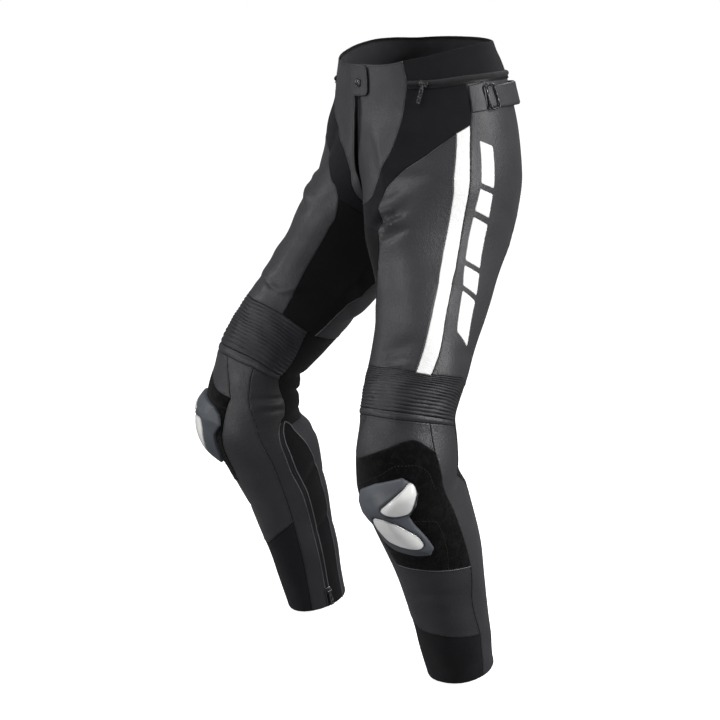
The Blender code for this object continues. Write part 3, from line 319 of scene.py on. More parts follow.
def fold_height(side, angle, along):
    """Sum of the folds: each is height x exp(-(lengthwise)^4 - (sideways)^2)."""
    total = np.zeros(np.broadcast(angle, along).shape)
    for values in FOLDS.values():
        fold = dict(zip(FOLD_COLUMNS, values))
        if fold["leg"] not in ("both", side):
            continue
        across, down = offsets(angle, along, (fold["angle"], fold["along"]))
        turn = math.radians(fold["turn"])
        lengthwise = down * math.cos(turn) + across * math.sin(turn)
        sideways = across * math.cos(turn) - down * math.sin(turn)
        shape = np.exp(-(lengthwise / fold["length"])**4 - (sideways / fold["width"])**2)
        total = total + fold["height"] * shape
    return total


def swell(side, angle, along):
    """Wide soft waves: a sum over whole waves round the leg and wavelengths down
    it of sine x sine, each of a size and phase drawn once for the leg."""
    draw = np.random.default_rng(11 if side == "left" else 23)
    turns, down = np.radians(np.asarray(angle, float)), np.asarray(along, float)
    total = np.zeros(np.broadcast(angle, along).shape)
    for around in (1, 2, 3, 4, 6):
        for wave in (0.26, 0.15, 0.085):
            phases = draw.uniform(0, 2 * math.pi, 2)
            size = draw.uniform(0.5, 1.0) * (wave / 0.26)**0.6 / around**0.4
            total = total + size * (np.sin(around * turns + phases[0])
                                    * np.sin(2 * math.pi * down / wave + phases[1]))
    return SWELL_HEIGHT * total


def relief(side, angle, along):
    """Folds and waves, faded out at the middle seam, where both halves must meet,
    and where something hard lies on the cloth."""
    aside = section_point(angle, slid(side, along))[..., 0]
    calm = 1 - np.exp(-(aside / 0.022)**2)
    for *spot, reach in QUIET:
        away = np.hypot(*offsets(angle, along, spot))
        calm = calm * (1 - np.exp(-(away / reach)**4))
    edge = rising(along, 0.0, 0.02) * (1 - 0.6 * rising(along, 0.94, HEM))
    return calm * (fold_height(side, angle, along) + edge * swell(side, angle, along))


def place(side, angle, along, lift=0.0):
    """Pattern coordinates to the cloth's outer face: the bare surface, moved out
    along its normal by the relief and by lift."""
    angle, along = np.asarray(angle, float), np.asarray(along, float)
    there = slid(side, along)
    height = relief(side, angle, along) + lift
    return section_point(angle, there) + outward_normal(angle, there) * height[..., None]


def centre(along):
    """Angle of the front middle seam; the back one is at 180 less this."""
    ratio = np.clip(column("out", along) / half_width(along), 0, 1)
    return np.where(np.asarray(along) >= CROTCH, -90.0, -np.degrees(np.arcsin(ratio)))


# ---- seams ---------------------------------------------------------------
FRONT_TIP = 0.238
GUSSET = 0.262
BACK_WAIST = 0.052
FLY_ANGLE = math.degrees(FLY_HALF_WIDTH / 0.118)
SLOT_ANGLE = 2.6 * FLY_ANGLE     # the open left edge of the fly, drawn off its zip so that dark tape shows in the slot as painted shadow
ZIP_ANGLE = 3.4
WAIST_EDGE = [(0, -0.0070), (10, -0.0062), (24, -0.0056), (32, -0.0065), (38, -0.0088),
              (56, -0.0108), (76, -0.0128), (94, -0.0120), (114, -0.0090), (140, -0.0040),
              (180, -0.0035)]
ZIP_LINE = ((-114, 0.655), (-107, 0.700), (-106, 0.735), (-110, 0.790), (-111, 0.850),
            (-110, 0.910), (-106, HEM))


def middle_front(start, end, count, beside=0.0):
    return [(float(centre(s)) + beside, s) for s in np.linspace(start, end, count)]


def middle_back(start, end, count):
    return [(180 - angle, along) for angle, along in middle_front(start, end, count)]


def crotch_curve():
    """The middle seam where it passes under: angles are even, along is read off."""
    along = np.linspace(GUSSET, CROTCH, 400)
    angles = centre(along)
    front = np.linspace(angles[0], -90, 7)
    depth = np.interp(-front, -angles, along)
    rear = -180 - front[::-1]
    return list(zip(front, depth)) + list(zip(rear, depth[::-1]))[1:]


def zip_edge(offset):
    """An edge of the calf zip: its line, moved round the leg by offset degrees."""
    return [(angle + offset, along) for angle, along in ZIP_LINE]


# Each seam runs between two corners through (angle, along) points.  One that is
# named with a side is drawn for that leg alone.
SEAMS = {
    "waist front left": [(SLOT_ANGLE, -0.0070)] + WAIST_EDGE[1:5],
    "waist front right": [(-9.2, -0.0030), (-6, -0.0052), (0, -0.0066)] + WAIST_EDGE[1:5],
    "waist side": WAIST_EDGE[4:],
    "fly edge left": (middle_front(-0.0070, 0.120, 5, SLOT_ANGLE)
                      + middle_front(0.150, FLY_END, 2, FLY_ANGLE)
                      + middle_front(0.180, FRONT_TIP, 4)),
    "fly edge right": (middle_front(0.0425, FLY_END, 6, FLY_ANGLE)
                       + middle_front(0.180, FRONT_TIP, 4)),
    "tab edge right": [(FLY_ANGLE, 0.0425), (-4, 0.0422), (-8, 0.0414), (-10.2, 0.0380),
                       (-10.8, 0.0330), (-11, 0.0220), (-10.8, 0.0080), (-10.2, -0.0005),
                       (-9.2, -0.0030)],
    "front edge top": [(38, -0.0088), (40, 0.027)],
    "front edge left": [(40, 0.027), (34, 0.074), (24, 0.121), (14, 0.156), (6, 0.188),
                        (0, 0.214), (-14, 0.230), (float(centre(FRONT_TIP)), FRONT_TIP)],
    "front edge right": [(40, 0.027), (34, 0.056), (20, 0.088), (6, 0.120), (-6, 0.138),
                         (-17, 0.163), (-28, 0.194), (-40, 0.218),
                         (float(centre(FRONT_TIP)), FRONT_TIP)],
    "waist zip front": [(40, 0.027), (58, 0.030), (76, 0.031)],
    "waist zip side": [(76, 0.031), (110, 0.038), (150, 0.048)],
    "waist zip back": [(150, 0.048), (180, BACK_WAIST)],
    "middle back top": [(180, -0.0035), (180, BACK_WAIST)],
    "hip edge": [(76, 0.031), (78, 0.066), (76, 0.096)],
    "stripe top": [(76, 0.096), (66, 0.106)],
    "yoke left": [(66, 0.106), (55, 0.122), (44, 0.140), (33, 0.156), (22, 0.177),
                  (15, 0.202), (12, 0.232), (12, 0.272)],
    "yoke right": [(66, 0.106), (49, 0.114), (32, 0.122), (18, 0.138), (7, 0.160),
                   (-6, 0.184), (-18, 0.202), (-26, 0.222)],
    "gusset top left": [(12, 0.272), (-10, 0.268), (-40, 0.263), (float(centre(GUSSET)), GUSSET)],
    "gusset top right": [(-26, 0.222), (-38, 0.234), (-54, 0.249), (float(centre(GUSSET)), GUSSET)],
    "middle front": middle_front(FRONT_TIP, GUSSET, 4),
    "crotch": crotch_curve(),
    "middle back": middle_back(BACK_WAIST, GUSSET, 9),
    "inner front left": [(12, 0.272), (11, 0.292), (5, 0.316), (-7, 0.346), (-20, 0.374),
                         (-32, 0.404), (-40, 0.434), (-43, 0.464)],
    "inner front right": [(-26, 0.222), (-29, 0.242), (-30, 0.258), (-28, 0.282), (-28, 0.316),
                          (-29, 0.352), (-32, 0.392), (-37, 0.430), (-43, 0.464)],
    "inner back": [(float(-180 - centre(GUSSET)), GUSSET), (-117, 0.300), (-112, 0.352),
                   (-106, 0.384), (-100, 0.420), (-98, 0.464)],
    "pit inner": [(-98, 0.464), (-84, 0.464)],
    "stripe front": [(66, 0.106), (65.4, 0.137), (65, 0.169), (68, 0.203), (70.7, 0.236),
                     (71.6, 0.267), (70.6, 0.297), (67, 0.329), (62.5, 0.364), (58, 0.396),
                     (52.6, 0.424), (43, 0.481)],
    "stripe back": [(76, 0.096), (75.2, 0.126), (76, 0.156), (78, 0.188), (81, 0.220),
                    (83, 0.248), (84.2, 0.277), (83.7, 0.306), (79.7, 0.336), (76.4, 0.368),
                    (73, 0.397), (69, 0.424), (65, 0.450), (60, 0.479)],
    "side back": [(150, 0.048), (150, 0.150), (148, 0.220), (140, 0.300), (130, 0.390),
                  (125, 0.458)],
    "ribs top inner": [(-84, 0.464), (-43, 0.464)],
    "ribs top front": [(-43, 0.464), (-24, 0.470), (0, 0.478), (43, 0.481)],
    "ribs top stripe": [(43, 0.481), (60, 0.479)],
    "ribs top outer": [(60, 0.479), (90, 0.467), (111, 0.459), (125, 0.458)],
    "knee back top": [(125, 0.458), (180, 0.456), (240, 0.460), (262, 0.464)],
    "ribs inner end": [(-84, 0.464), (-96, 0.498), (-103, 0.525), (-101, 0.543)],
    "ribs outer end": [(125, 0.458), (116, 0.500), (106, 0.548)],
    "ribs bottom": [(-101, 0.543), (-56, 0.535), (-20, 0.538), (20, 0.542), (64, 0.545),
                    (106, 0.548)],
    "welt inner end": [(-101, 0.543), (-101, 0.552)],
    "welt outer end": [(106, 0.548), (106, 0.557)],
    "welt calf": [(-101, 0.552), (-60, 0.545)],
    "welt shin": [(-60, 0.545), (-20, 0.547)],
    "welt knee": [(-20, 0.547), (20, 0.551), (64, 0.554)],
    "welt strip": [(64, 0.554), (106, 0.557)],
    "knee inner": [(-20, 0.547), (-32, 0.568), (-46, 0.604)],
    "pad top": [(-46, 0.604), (-20, 0.597), (10, 0.585), (42, 0.574), (69, 0.590)],
    "knee outer": [(64, 0.554), (66, 0.570), (69, 0.590)],
    "pad outer": [(69, 0.590), (74, 0.623), (75, 0.669), (75, 0.765)],
    "pad inner": [(-46, 0.604), (-40, 0.640), (-32, 0.680), (-26, 0.715), (-22, 0.738)],
    "pad bottom": [(-22, 0.738), (10, 0.745), (40, 0.753), (75, 0.765)],
    "shin outer": [(75, 0.765), (72, 0.821), (76, 0.890)],
    "cuff outer": [(76, 0.890), (72, 0.935), (69, HEM)],
    "cuff top": [(-82, 0.830), (-56, 0.845), (-18, 0.866), (9, 0.870), (40, 0.879), (76, 0.890)],
    "long seam": [(-60, 0.545), (-64, 0.576), (-72, 0.624), (-81, 0.667), (-86, 0.725),
                  (-84, 0.790), (-82, 0.830)],
    "cuff inner": [(-82, 0.830), (-80, 0.887), (-70, HEM)],
    "strip back top": [(106, 0.557), (115, 0.595), (110, 0.625), (120, 0.665)],
    "strip back": [(120, 0.665), (130, 0.720), (135, 0.800), (135, 0.890), (135, HEM)],
    "knee back inner": [(-101, 0.552), (-108, 0.580), (-116, 0.612), (-117, 0.636),
                        (-114 + ZIP_ANGLE, 0.655)],
    "zip top": [(-114 + ZIP_ANGLE, 0.655), (-114 - ZIP_ANGLE, 0.655)],
    "zip front edge": zip_edge(ZIP_ANGLE),
    "zip back edge": zip_edge(-ZIP_ANGLE),
    "gusset head": [(-114 - ZIP_ANGLE, 0.655), (-122, 0.659), (-128, 0.668)],
    "gusset back": [(-128, 0.668), (-135, 0.709), (-141, 0.765), (-142, 0.865), (-142, HEM)],
    "calf top": [(232, 0.668), (180, 0.674), (120, 0.665)],
    "hem cuff": [(-70, HEM), (0, HEM), (69, HEM)],
    "hem strip": [(69, HEM), (135, HEM)],
    "hem back": [(135, HEM), (180, HEM), (218, HEM)],
    "hem gusset": [(218, HEM), (254 - ZIP_ANGLE, HEM)],
    "hem zip": [(254 - ZIP_ANGLE, HEM), (254 + ZIP_ANGLE, HEM)],
    "hem calf": [(-106 + ZIP_ANGLE, HEM), (-70, HEM)],
}

# The cut pieces of one leg: what each is made of, and its seams in order, with
# a minus on one that is followed backwards.
# Two stuffs are darker copies of the leather and the stretch, a painted shade for pieces that lie in
# shade: the inner thigh, the back of the knee and the calf's inner, back and gusset
PIECES = {
    "front_panel": ("leather", "waist front, front edge top, front edge, -fly edge, tab edge"),
    "waistband": ("stretch", "waist side, middle back top, -waist zip back, -waist zip side,"
                  " -waist zip front, -front edge top"),
    "hip_panel": ("stretch", "waist zip front, hip edge, stripe top, yoke, gusset top,"
                  " -middle front, -front edge"),
    "thigh_front": ("leather", "stripe front, -ribs top front, -inner front, -yoke"),
    "stripe": ("white leather", "stripe back, -ribs top stripe, -stripe front, -stripe top"),
    "thigh_side": ("leather", "waist zip side, side back, -ribs top outer, -stripe back,"
                   " -hip edge"),
    "seat": ("leather", "waist zip back, middle back, inner back, -knee back top, -side back"),
    "inner_thigh": ("dark stretch", "gusset top, crotch, inner back, pit inner, ribs top inner,"
                    " -inner front"),
    "welt": ("leather", "ribs bottom, welt outer end, -welt strip, -welt knee, -welt shin,"
             " -welt calf, -welt inner end"),
    "knee_top": ("leather", "welt knee, knee outer, -pad top, -knee inner"),
    "knee_pad": ("hook pad", "pad top, pad outer, -pad bottom, -pad inner"),
    "shin": ("leather", "welt shin, knee inner, pad inner, pad bottom, shin outer, -cuff top,"
             " -long seam"),
    "side_strip": ("leather", "welt strip, strip back top, strip back, -hem strip, -cuff outer,"
                   " -shin outer, -pad outer, -knee outer"),
    "cuff": ("stretch", "cuff top, cuff outer, -hem cuff, -cuff inner"),
    "calf_inner": ("dark leather", "welt calf, long seam, cuff inner, -hem calf, -zip front edge,"
                   " -knee back inner"),
    "calf_zip": ("zip", "zip top, zip back edge, hem zip, -zip front edge"),
    "calf_gusset": ("dark stretch", "gusset head, gusset back, hem gusset, -zip back edge"),
    "calf_back": ("dark leather", "calf top, strip back, hem back, -gusset back"),
    "knee_back": ("dark stretch", "knee back top, pit inner, ribs inner end, welt inner end,"
                  " knee back inner, zip top, gusset head, calf top, -strip back top,"
                  " -welt outer end, -ribs outer end"),
}
LIFTS = {"knee_pad": 0.0008, "welt": 0.0006, "calf_zip": -0.0002}   # outer face, off flush
SLOTS = {"leather": "leather", "dark leather": "leather", "stretch": "stretch",
         "dark stretch": "stretch", "white leather": "white_leather", "hook pad": "hook_pad",
         "zip": "zip_tape"}
# Which of a panel's seams are sewn down on its own side.
SEWN = {
    "front_panel": ("front edge top", "front edge", "fly edge", "waist front", "tab edge"),
    "thigh_front": ("yoke", "inner front", "ribs top front", "stripe front"),
    "thigh_side": ("waist zip side", "side back", "ribs top outer", "stripe back", "hip edge"),
    "seat": ("middle back", "inner back", "knee back top", "waist zip back"),
    "knee_top": ("welt knee", "knee inner", "knee outer", "pad top"),
    "shin": ("knee inner", "pad inner", "pad bottom", "shin outer", "cuff top", "long seam"),
    "side_strip": ("welt strip", "strip back", "strip back top", "cuff outer", "hem strip"),
    "calf_inner": ("zip front edge", "cuff inner", "welt calf", "hem calf"),
    "calf_back": ("calf top", "gusset back", "hem back"),
    "welt": ("welt strip", "welt knee", "welt shin", "welt calf", "ribs bottom"),
}
# Border sewing on the knee pad, as (angle, along) points.
PAD_LINES = {
    "pad upper line": [(-43, 0.626), (-27, 0.622), (3, 0.612), (28, 0.602), (44, 0.602),
                       (58, 0.611), (64, 0.630)],
    "pad lower line": [(30, 0.660), (40, 0.664), (50, 0.672), (52, 0.696), (50, 0.722),
                       (45, 0.750)],
}


# ---- small parts ---------------------------------------------------------
# Edges bound with a thin rolled cord: the seam, the lift and the radius.  The cord's grey is lighter
# than the leather's, partly its own colour and partly a painted highlight along the rolled edges.
PIPED = (("gusset back", 0.0002, 0.0011), ("zip back edge", 0.0003, 0.0010),
         ("zip front edge", 0.0001, 0.0007), ("pad bottom", 0.0004, 0.0009),
         ("inner back", 0.0000, 0.0009), ("gusset head", 0.0002, 0.0010))

KNEE_SLIDER = ((-24, 0.626), (-3, 0.619), (30, 0.613), (41, 0.619), (45, 0.629), (40, 0.640),
               (27, 0.651), (28, 0.665), (34, 0.689), (37, 0.707), (31, 0.717), (14, 0.714),
               (-9, 0.703), (-21, 0.688), (-24, 0.663), (-36, 0.650), (-34, 0.637))
SLIDER_EDGE, SLIDER_DOME, SLIDER_RAMP = 0.006, 0.020, 0.026
SLIDER_ROLL, INLAY_ROLL = (0.0016, 0.0016), (0.0012, 0.0012)
SLIDER_MESH = (0.0019, (0.0004, 0.0009, 0.0016))     # step, and rows behind the edge
INLAY_MESH, BAR_MESH = (0.0024, (0.0004, 0.0010)), (0.005, (0.0003, 0.0008))
# Depths of the inlays' seats and of the recess, and the distances inside their
# outlines between which they sink; then how far outside a seat the painted shade
# of its groove is darkest.
SEAT_DEPTH, SEAT_LIP = 0.0014, (-0.0021, -0.0011)
RECESS_DEPTH, RECESS_LIP = 0.0007, (-0.0006, 0.0008)
SEAT_GROOVE_SHADE = 0.0008
INLAY_STAND, INLAY_DOME, INLAY_SINK = 0.0002, 0.0006, 0.0013    # off the slider's dome
INLAY_REACH = 0.008                # from its edge to its full height
INNER_SIDE = (-36, 8, 0.4)         # first and last angle of its thinner part, and how thin
LOWER_END = (0.660, 0.715, 0.5)    # first and last along of the same at the lower end
CORNER_CUT = 0.18                  # of an edge, that softening an outline takes off each end
INLAYS = {
    "upper": ((37, 0.6165), (42.5, 0.6205), (43.5, 0.6290), (31.5, 0.6465), (19, 0.6445),
              (4, 0.6375), (15, 0.6315), (29, 0.6235)),
    "lower": ((-8, 0.645), (8, 0.645), (17, 0.654), (27, 0.680), (29, 0.694), (24, 0.698),
              (10, 0.689), (-6, 0.677), (-11, 0.658)),
}
RECESS = ((-13, 0.632), (4, 0.627), (25, 0.6195), (27, 0.6230), (12, 0.6300), (-8, 0.638))

BAR_LINE = ((88, 0.120), (94, 0.200), (99, 0.290), (100, 0.360), (97, 0.432))
BAR_LENGTHS = (0.062, 0.034, 0.062, 0.034, 0.062)
BAR_GAP, BAR_WIDTH, BAR_SLANT = 0.0085, 0.026, 0.010
BAR_FOOT, BAR_WALL, BAR_ROLL = 0.0001, 0.0007, (0.0007, 0.0006)
BAR_STEP, BAR_CUT = 0.003, 0.25    # between two points round it, and CORNER_CUT of its own

ZIP_HALF, ZIP_ROLL = 0.0058, 0.0034            # half the waist zip's width, and its roll's height
# Zip teeth: length, width and height, and the pitch of them along the zip.
TEETH = {"waist": (0.0011, 0.0026, 0.0009), "fly": (0.0011, 0.0024, 0.0009),
         "calf": (0.0010, 0.0030, 0.0010)}
TOOTH_PITCH, CALF_TOOTH_PITCH = 0.0021, 0.0019
TOOTH_TOP = (0.34, 0.42)           # half length and half width of its top, as shares
ROLL_AT, ROLL_FOOT = (0.30, 0.62), 0.0010      # of the waist zip: middle, half width; foot
TEETH_BED = (0.36, 0.0013)         # share across from which it is flat, and its height there
WAIST_TEETH_LIFT, WAIST_TEETH_DROP = 0.0012, 0.0040    # over the cloth, below the zip's line
STRAP_BASE = (78, 90, 0.040, 0.079)            # first and last angle, first and last along
STRAP_BASE_TOP, STRAP_BASE_ROLL = 0.0024, (0.0016, 0.0012)
EVEN_FROM, EVEN_STEP = 0.002, 0.003            # its points behind the edge, about how far apart
STRAP_ROLL, STRAP_WAVE = (0.0020, 0.0020), 0.0003
STRAP_SEWN = (0.10, 0.97, 0.0030)              # share where its sewing starts and ends, inset
STRAP = (92, 166)                              # first and last angle
STRAP_WIDTH, STRAP_WALL, STRAP_BOW = 0.031, 0.0030, 0.0065
STRAP_FLAT = 0.15                              # the bow starts after this share, about
STRAP_ALONG, STRAP_FALL, STRAP_MIDDLE = 0.061, 0.016, 0.068    # where it starts, falls by, middle
RING_AT, SNAP_AT = (95, 0.062), (2.5, 0.022)
RING_LENGTH, RING_WIDTH, RING_WIRE, RING_CORNER, RING_GAP = 0.036, 0.017, 0.0015, 0.004, 0.0008
FLY_OPEN = 0.120                               # along, where its open edge starts to close
FLY_TAPE = (-0.004, -0.002, 0, 0.002, 0.004, 0.006)     # across the flat tape
FACING_START, FACING_WIDTH = 6, 0.042
FACING_DEPTH, FACING_SAG, FACING_DROP, FACING_IN = 0.040, 0.006, 0.0035, 0.0021
FACING_WALL, FACING_ROLL = 0.0010, (0.0004, 0.003)      # its turned edges: depth and width
WAIST_PULL_AT, CALF_PULL_AT = (50, 0.028), (-109.3, 0.955)
PULL_WIDTH, PULL_WALL, WAIST_PULL, CALF_PULL = 0.006, 0.0012, 0.030, 0.025
WAIST_TURN, WAIST_LEAN, CALF_LEAN = -22, 8, -2.9
WAIST_SLIDER, CALF_SLIDER, WAIST_SLIDER_LIFT = (0.012, 0.0085), (0.0085, 0.012), 0.0022
EYE_RADIUS, EYE_HOLE = 0.0019, 0.00105
METAL_BEVEL, BODY_BEVEL = 0.0002, 0.0004       # of tabs and ears, and of a slider's body
PULL_NECK, PULL_CORNER = 0.0019, 0.0018        # half its width at the eye, radius at the end
PULL_ROUND, PULL_HOLE = 0.0020, (0.0042, 0.0014)   # from its tip; the hole's radius too
PULL_SLIT = (-0.0098, -0.0155, 0.0008)         # its two ends and half its width
BODY_CORNER, BODY_WAIST = 0.0014, 0.0006
EAR_GAP, EAR_HALF, EAR_ROUND, EAR_WALL = 0.0003, 0.0017, 0.0012, 0.0011
EAR_MIDDLE, AXLE_END = 0.0006, 0.0005          # beyond an ear's inner face
AXLE_RADIUS, AXLE_HEIGHT, SLIDER_BODY = 0.00075, 0.0046, 0.0024
SIDE_ON = Matrix(((0, 0, 1, 0), (1, 0, 0, 0), (0, 1, 0, 0), (0, 0, 0, 1)))   # its Z turned to X


# ---- curves --------------------------------------------------------------
def thinned(points, side, step, count=None):
    """Dense points along a curve to ones evenly spaced on the worn shape."""
    points = np.array(points, float)
    solid = section_point(points[:, 0], slid(side, points[:, 1]))
    length = np.concatenate(([0], np.cumsum(np.linalg.norm(np.diff(solid, axis=0), axis=1))))
    count = count or max(1, round(length[-1] / step))
    wanted = np.linspace(0, length[-1], count + 1)
    return np.stack([np.interp(wanted, length, points[:, i]) for i in (0, 1)], axis=-1)


def curve(through, side, step, count=None):
    """A smooth curve through (angle, along) points, evenly spaced on the leg."""
    through = np.array(through, float)
    travel = np.linalg.norm(np.diff(flat(through[:, 0], through[:, 1]), axis=0), axis=1)
    travel = np.concatenate(([0], np.cumsum(travel)))
    dense = np.linspace(0, travel[-1], 60 * len(through))
    line = np.stack([smooth(dense, travel, through[:, i]) for i in (0, 1)], axis=-1)
    return thinned(line, side, step, count)


def knots(name, side):
    """The points a seam goes through on this leg, or None where only the other leg
    has it."""
    return SEAMS.get(name) or SEAMS.get(f"{name} {side}")


def outline(names, side, step=CUT_STEP):
    """Seams joined into one closed loop of (angle, along), and which points of the
    loop are each seam's; a seam whose angles are written a full turn away is
    brought round to the one before it."""
    loop, spans = [], {}
    for name in (part.strip() for part in names.split(",")):
        if knots(name.lstrip("-"), side) is None:
            continue
        run = curve(knots(name.lstrip("-"), side), side, step)
        run = run[::-1] if name.startswith("-") else run
        if loop:
            run[:, 0] += 360 * round((loop[-1][0] - run[0, 0]) / 360)
        spans[name.lstrip("-")] = (len(loop), len(loop) + len(run) - 1)
        loop.extend(tuple(point) for point in run[:-1])
    return np.array(loop), spans


# ---- outlines in the plane -----------------------------------------------
def inside(points, polygon):
    """Which points lie in a polygon, by counting edges crossed."""
    x, y = points[:, 0, None], points[:, 1, None]
    x0, y0 = polygon[:, 0], polygon[:, 1]
    x1, y1 = np.roll(x0, -1), np.roll(y0, -1)
    spans = (y0 > y) != (y1 > y)
    rise = np.where(y1 == y0, 1, y1 - y0)
    return (spans & (x < (x1 - x0) * (y - y0) / rise + x0)).sum(axis=1) % 2 == 1


def reading(points, polygon):
    """How far each point is from a closed outline, and how far round the outline
    its nearest spot is."""
    if not len(points):
        return np.zeros(0), np.zeros(0)
    run = np.roll(polygon, -1, axis=0) - polygon
    size = (run**2).sum(-1)
    travel = np.concatenate(([0], np.cumsum(np.sqrt(size))[:-1]))
    offset = points[:, None] - polygon
    t = np.clip((offset * run).sum(-1) / size, 0, 1)
    gaps = np.linalg.norm(offset - t[..., None] * run, axis=-1)
    nearest = gaps.argmin(axis=1)
    rows = np.arange(len(points))
    return gaps[rows, nearest], travel[nearest] + t[rows, nearest] * np.sqrt(size)[nearest]


def signed(points, polygon):
    """Distance from an outline, positive inside it."""
    return reading(points, polygon)[0] * np.where(inside(points, polygon), 1, -1)


def area_of(polygon):
    """Shoelace sum, positive when the outline turns left."""
    ahead = np.roll(polygon, -1, axis=0)
    return (polygon[:, 0] * ahead[:, 1] - ahead[:, 0] * polygon[:, 1]).sum() / 2


def shifted(points, inward, depth, least):
    """Points moved along the mean of their two edges' normals, further at corners;
    least keeps a sharp corner from running away."""
    before = np.roll(inward, 1, axis=0)
    closeness = np.maximum(1 + (inward * before).sum(-1, keepdims=True), least)
    return points + depth * (inward + before) / closeness


def set_in(polygon, depth):
    """The outline moved inwards by the same depth all round."""
    ahead = unit(np.roll(polygon, -1, axis=0) - polygon)
    inward = np.stack((-ahead[:, 1], ahead[:, 0]), -1) * math.copysign(1, area_of(polygon))
    return shifted(polygon, inward, depth, 0.5)


def pulled_in(solid, normals, gap):
    """Boundary points moved into their piece by the same gap from every edge."""
    ahead = unit(np.roll(solid, -1, axis=0) - solid)
    return shifted(solid, unit(np.cross(normals, ahead)), gap, 0.45)


def cut_size(polygon):
    """Width, length and area of the smallest rectangle that holds an outline."""
    best = None
    for turn in np.radians(np.arange(0, 90, 1.5)):
        spin = np.array(((math.cos(turn), -math.sin(turn)), (math.sin(turn), math.cos(turn))))
        extent = np.ptp(polygon @ spin.T, axis=0)
        if best is None or extent.prod() < best[0] * best[1]:
            best = tuple(extent)
    return min(best), max(best), abs(area_of(polygon))


def field(polygon, step, rows):
    """Points inside an outline: rows behind its edge, then a triangular grid."""
    found = []
    for depth in rows:
        row = set_in(polygon, depth)
        row = row[inside(row, polygon)]
        found.append(row[reading(row, polygon)[0] > 0.93 * depth])
    low, high = polygon.min(axis=0), polygon.max(axis=0)
    rise = step * math.sqrt(3) / 2
    xs = np.arange(low[0] - step, high[0] + step, step)
    ys = np.arange(low[1] + rise / 2, high[1], rise)
    grid = np.stack(np.meshgrid(xs, ys), axis=-1)
    grid[1::2, :, 0] += step / 2
    grid = grid.reshape(-1, 2)
    grid = grid[inside(grid, polygon)]
    found.append(grid[reading(grid, polygon)[0] > rows[-1] + 0.5 * step])
    return np.concatenate(found)


# ---- meshes --------------------------------------------------------------
SHARP = math.radians(48)     # two faces that meet at more than this show an edge
FAR = 0.02                   # a distance beyond the reach of any seam's painted shade


def mesh_piece(name, side, points, faces, stuffs, surface=None):
    """A mesh object from arrays, mirrored for the right leg.  surface gives each
    face's material, each point's place on the flat pattern, in metres, and how far
    from a seam it is, which sets the painted shade near seams."""
    points, faces = np.array(points, float), np.array(faces, int)
    if side == "right":
        points[:, 0] *= -1
        faces = faces[:, ::-1]
    mesh = bpy.data.meshes.new(name)
    mesh.from_pydata(points.tolist(), [], faces.tolist())
    mesh.update()
    for stuff in stuffs:
        mesh.materials.append(FINISHES[stuff])
    mesh.polygons.foreach_set("use_smooth", np.ones(len(faces), bool))
    if surface:
        parts, pattern, distance = surface
        mesh.polygons.foreach_set("material_index", parts.astype(np.int32))
        corners = np.zeros(len(mesh.loops), np.int32)
        mesh.loops.foreach_get("vertex_index", corners)
        layer = mesh.uv_layers.new(name="pattern")
        layer.data.foreach_set("uv", pattern.astype(np.float32)[corners].ravel())
        # seam_distance sets where the materials paint shade near seams and grooves
        made = mesh.attributes.new("seam_distance", "FLOAT", "POINT")
        made.data.foreach_set("value", distance.astype(np.float32))
    mesh.set_sharp_from_angle(angle=SHARP)
    piece = bpy.data.objects.new(name, mesh)
    bpy.context.scene.collection.objects.link(piece)
    return piece


def dress(piece, nodes, body=BODY):
    """The piece rides on its body and stands for the solids named."""
    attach(piece, body)
    if nodes:
        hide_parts(*nodes)
    return piece


def assembled(name, side, parts, stuff, nodes=(), body=BODY):
    """One dressed piece from several (points, faces)."""
    starts = np.cumsum([0] + [len(points) for points, _ in parts])
    faces = np.concatenate([some + start for (_, some), start in zip(parts, starts)])
    points = np.concatenate([some for some, _ in parts])
    return dress(mesh_piece(name, side, points, faces, [stuff]), nodes, body)


def quads(a, b, c, d):
    """Two triangles for each set of four corners."""
    return np.concatenate((np.stack((a, b, c), -1).reshape(-1, 3),
                           np.stack((a, c, d), -1).reshape(-1, 3)))


def wall(name, side, outer, inner, faces, rim, stuffs, pattern, distance):
    """A closed wall: its two faces' points, which share their triangles, are joined
    round the rim.  The last stuff is the inner face's, the first one all the rest's."""
    size, ahead = len(outer), np.roll(rim, -1)
    edge = quads(ahead, rim, rim + size, ahead + size)
    parts = np.repeat((0, len(stuffs) - 1, 0), (len(faces), len(faces), len(edge)))
    faces = np.concatenate((faces, faces[:, ::-1] + size, edge))
    return mesh_piece(name, side, np.concatenate((outer, inner)), faces, stuffs,
                      (parts, np.tile(pattern, (2, 1)), distance))


def keep_to_side(face):
    """Holds points on their own half of the garment, short of the middle seam."""
    face[..., 0] = np.maximum(face[..., 0], SEAM_GAP / 2)


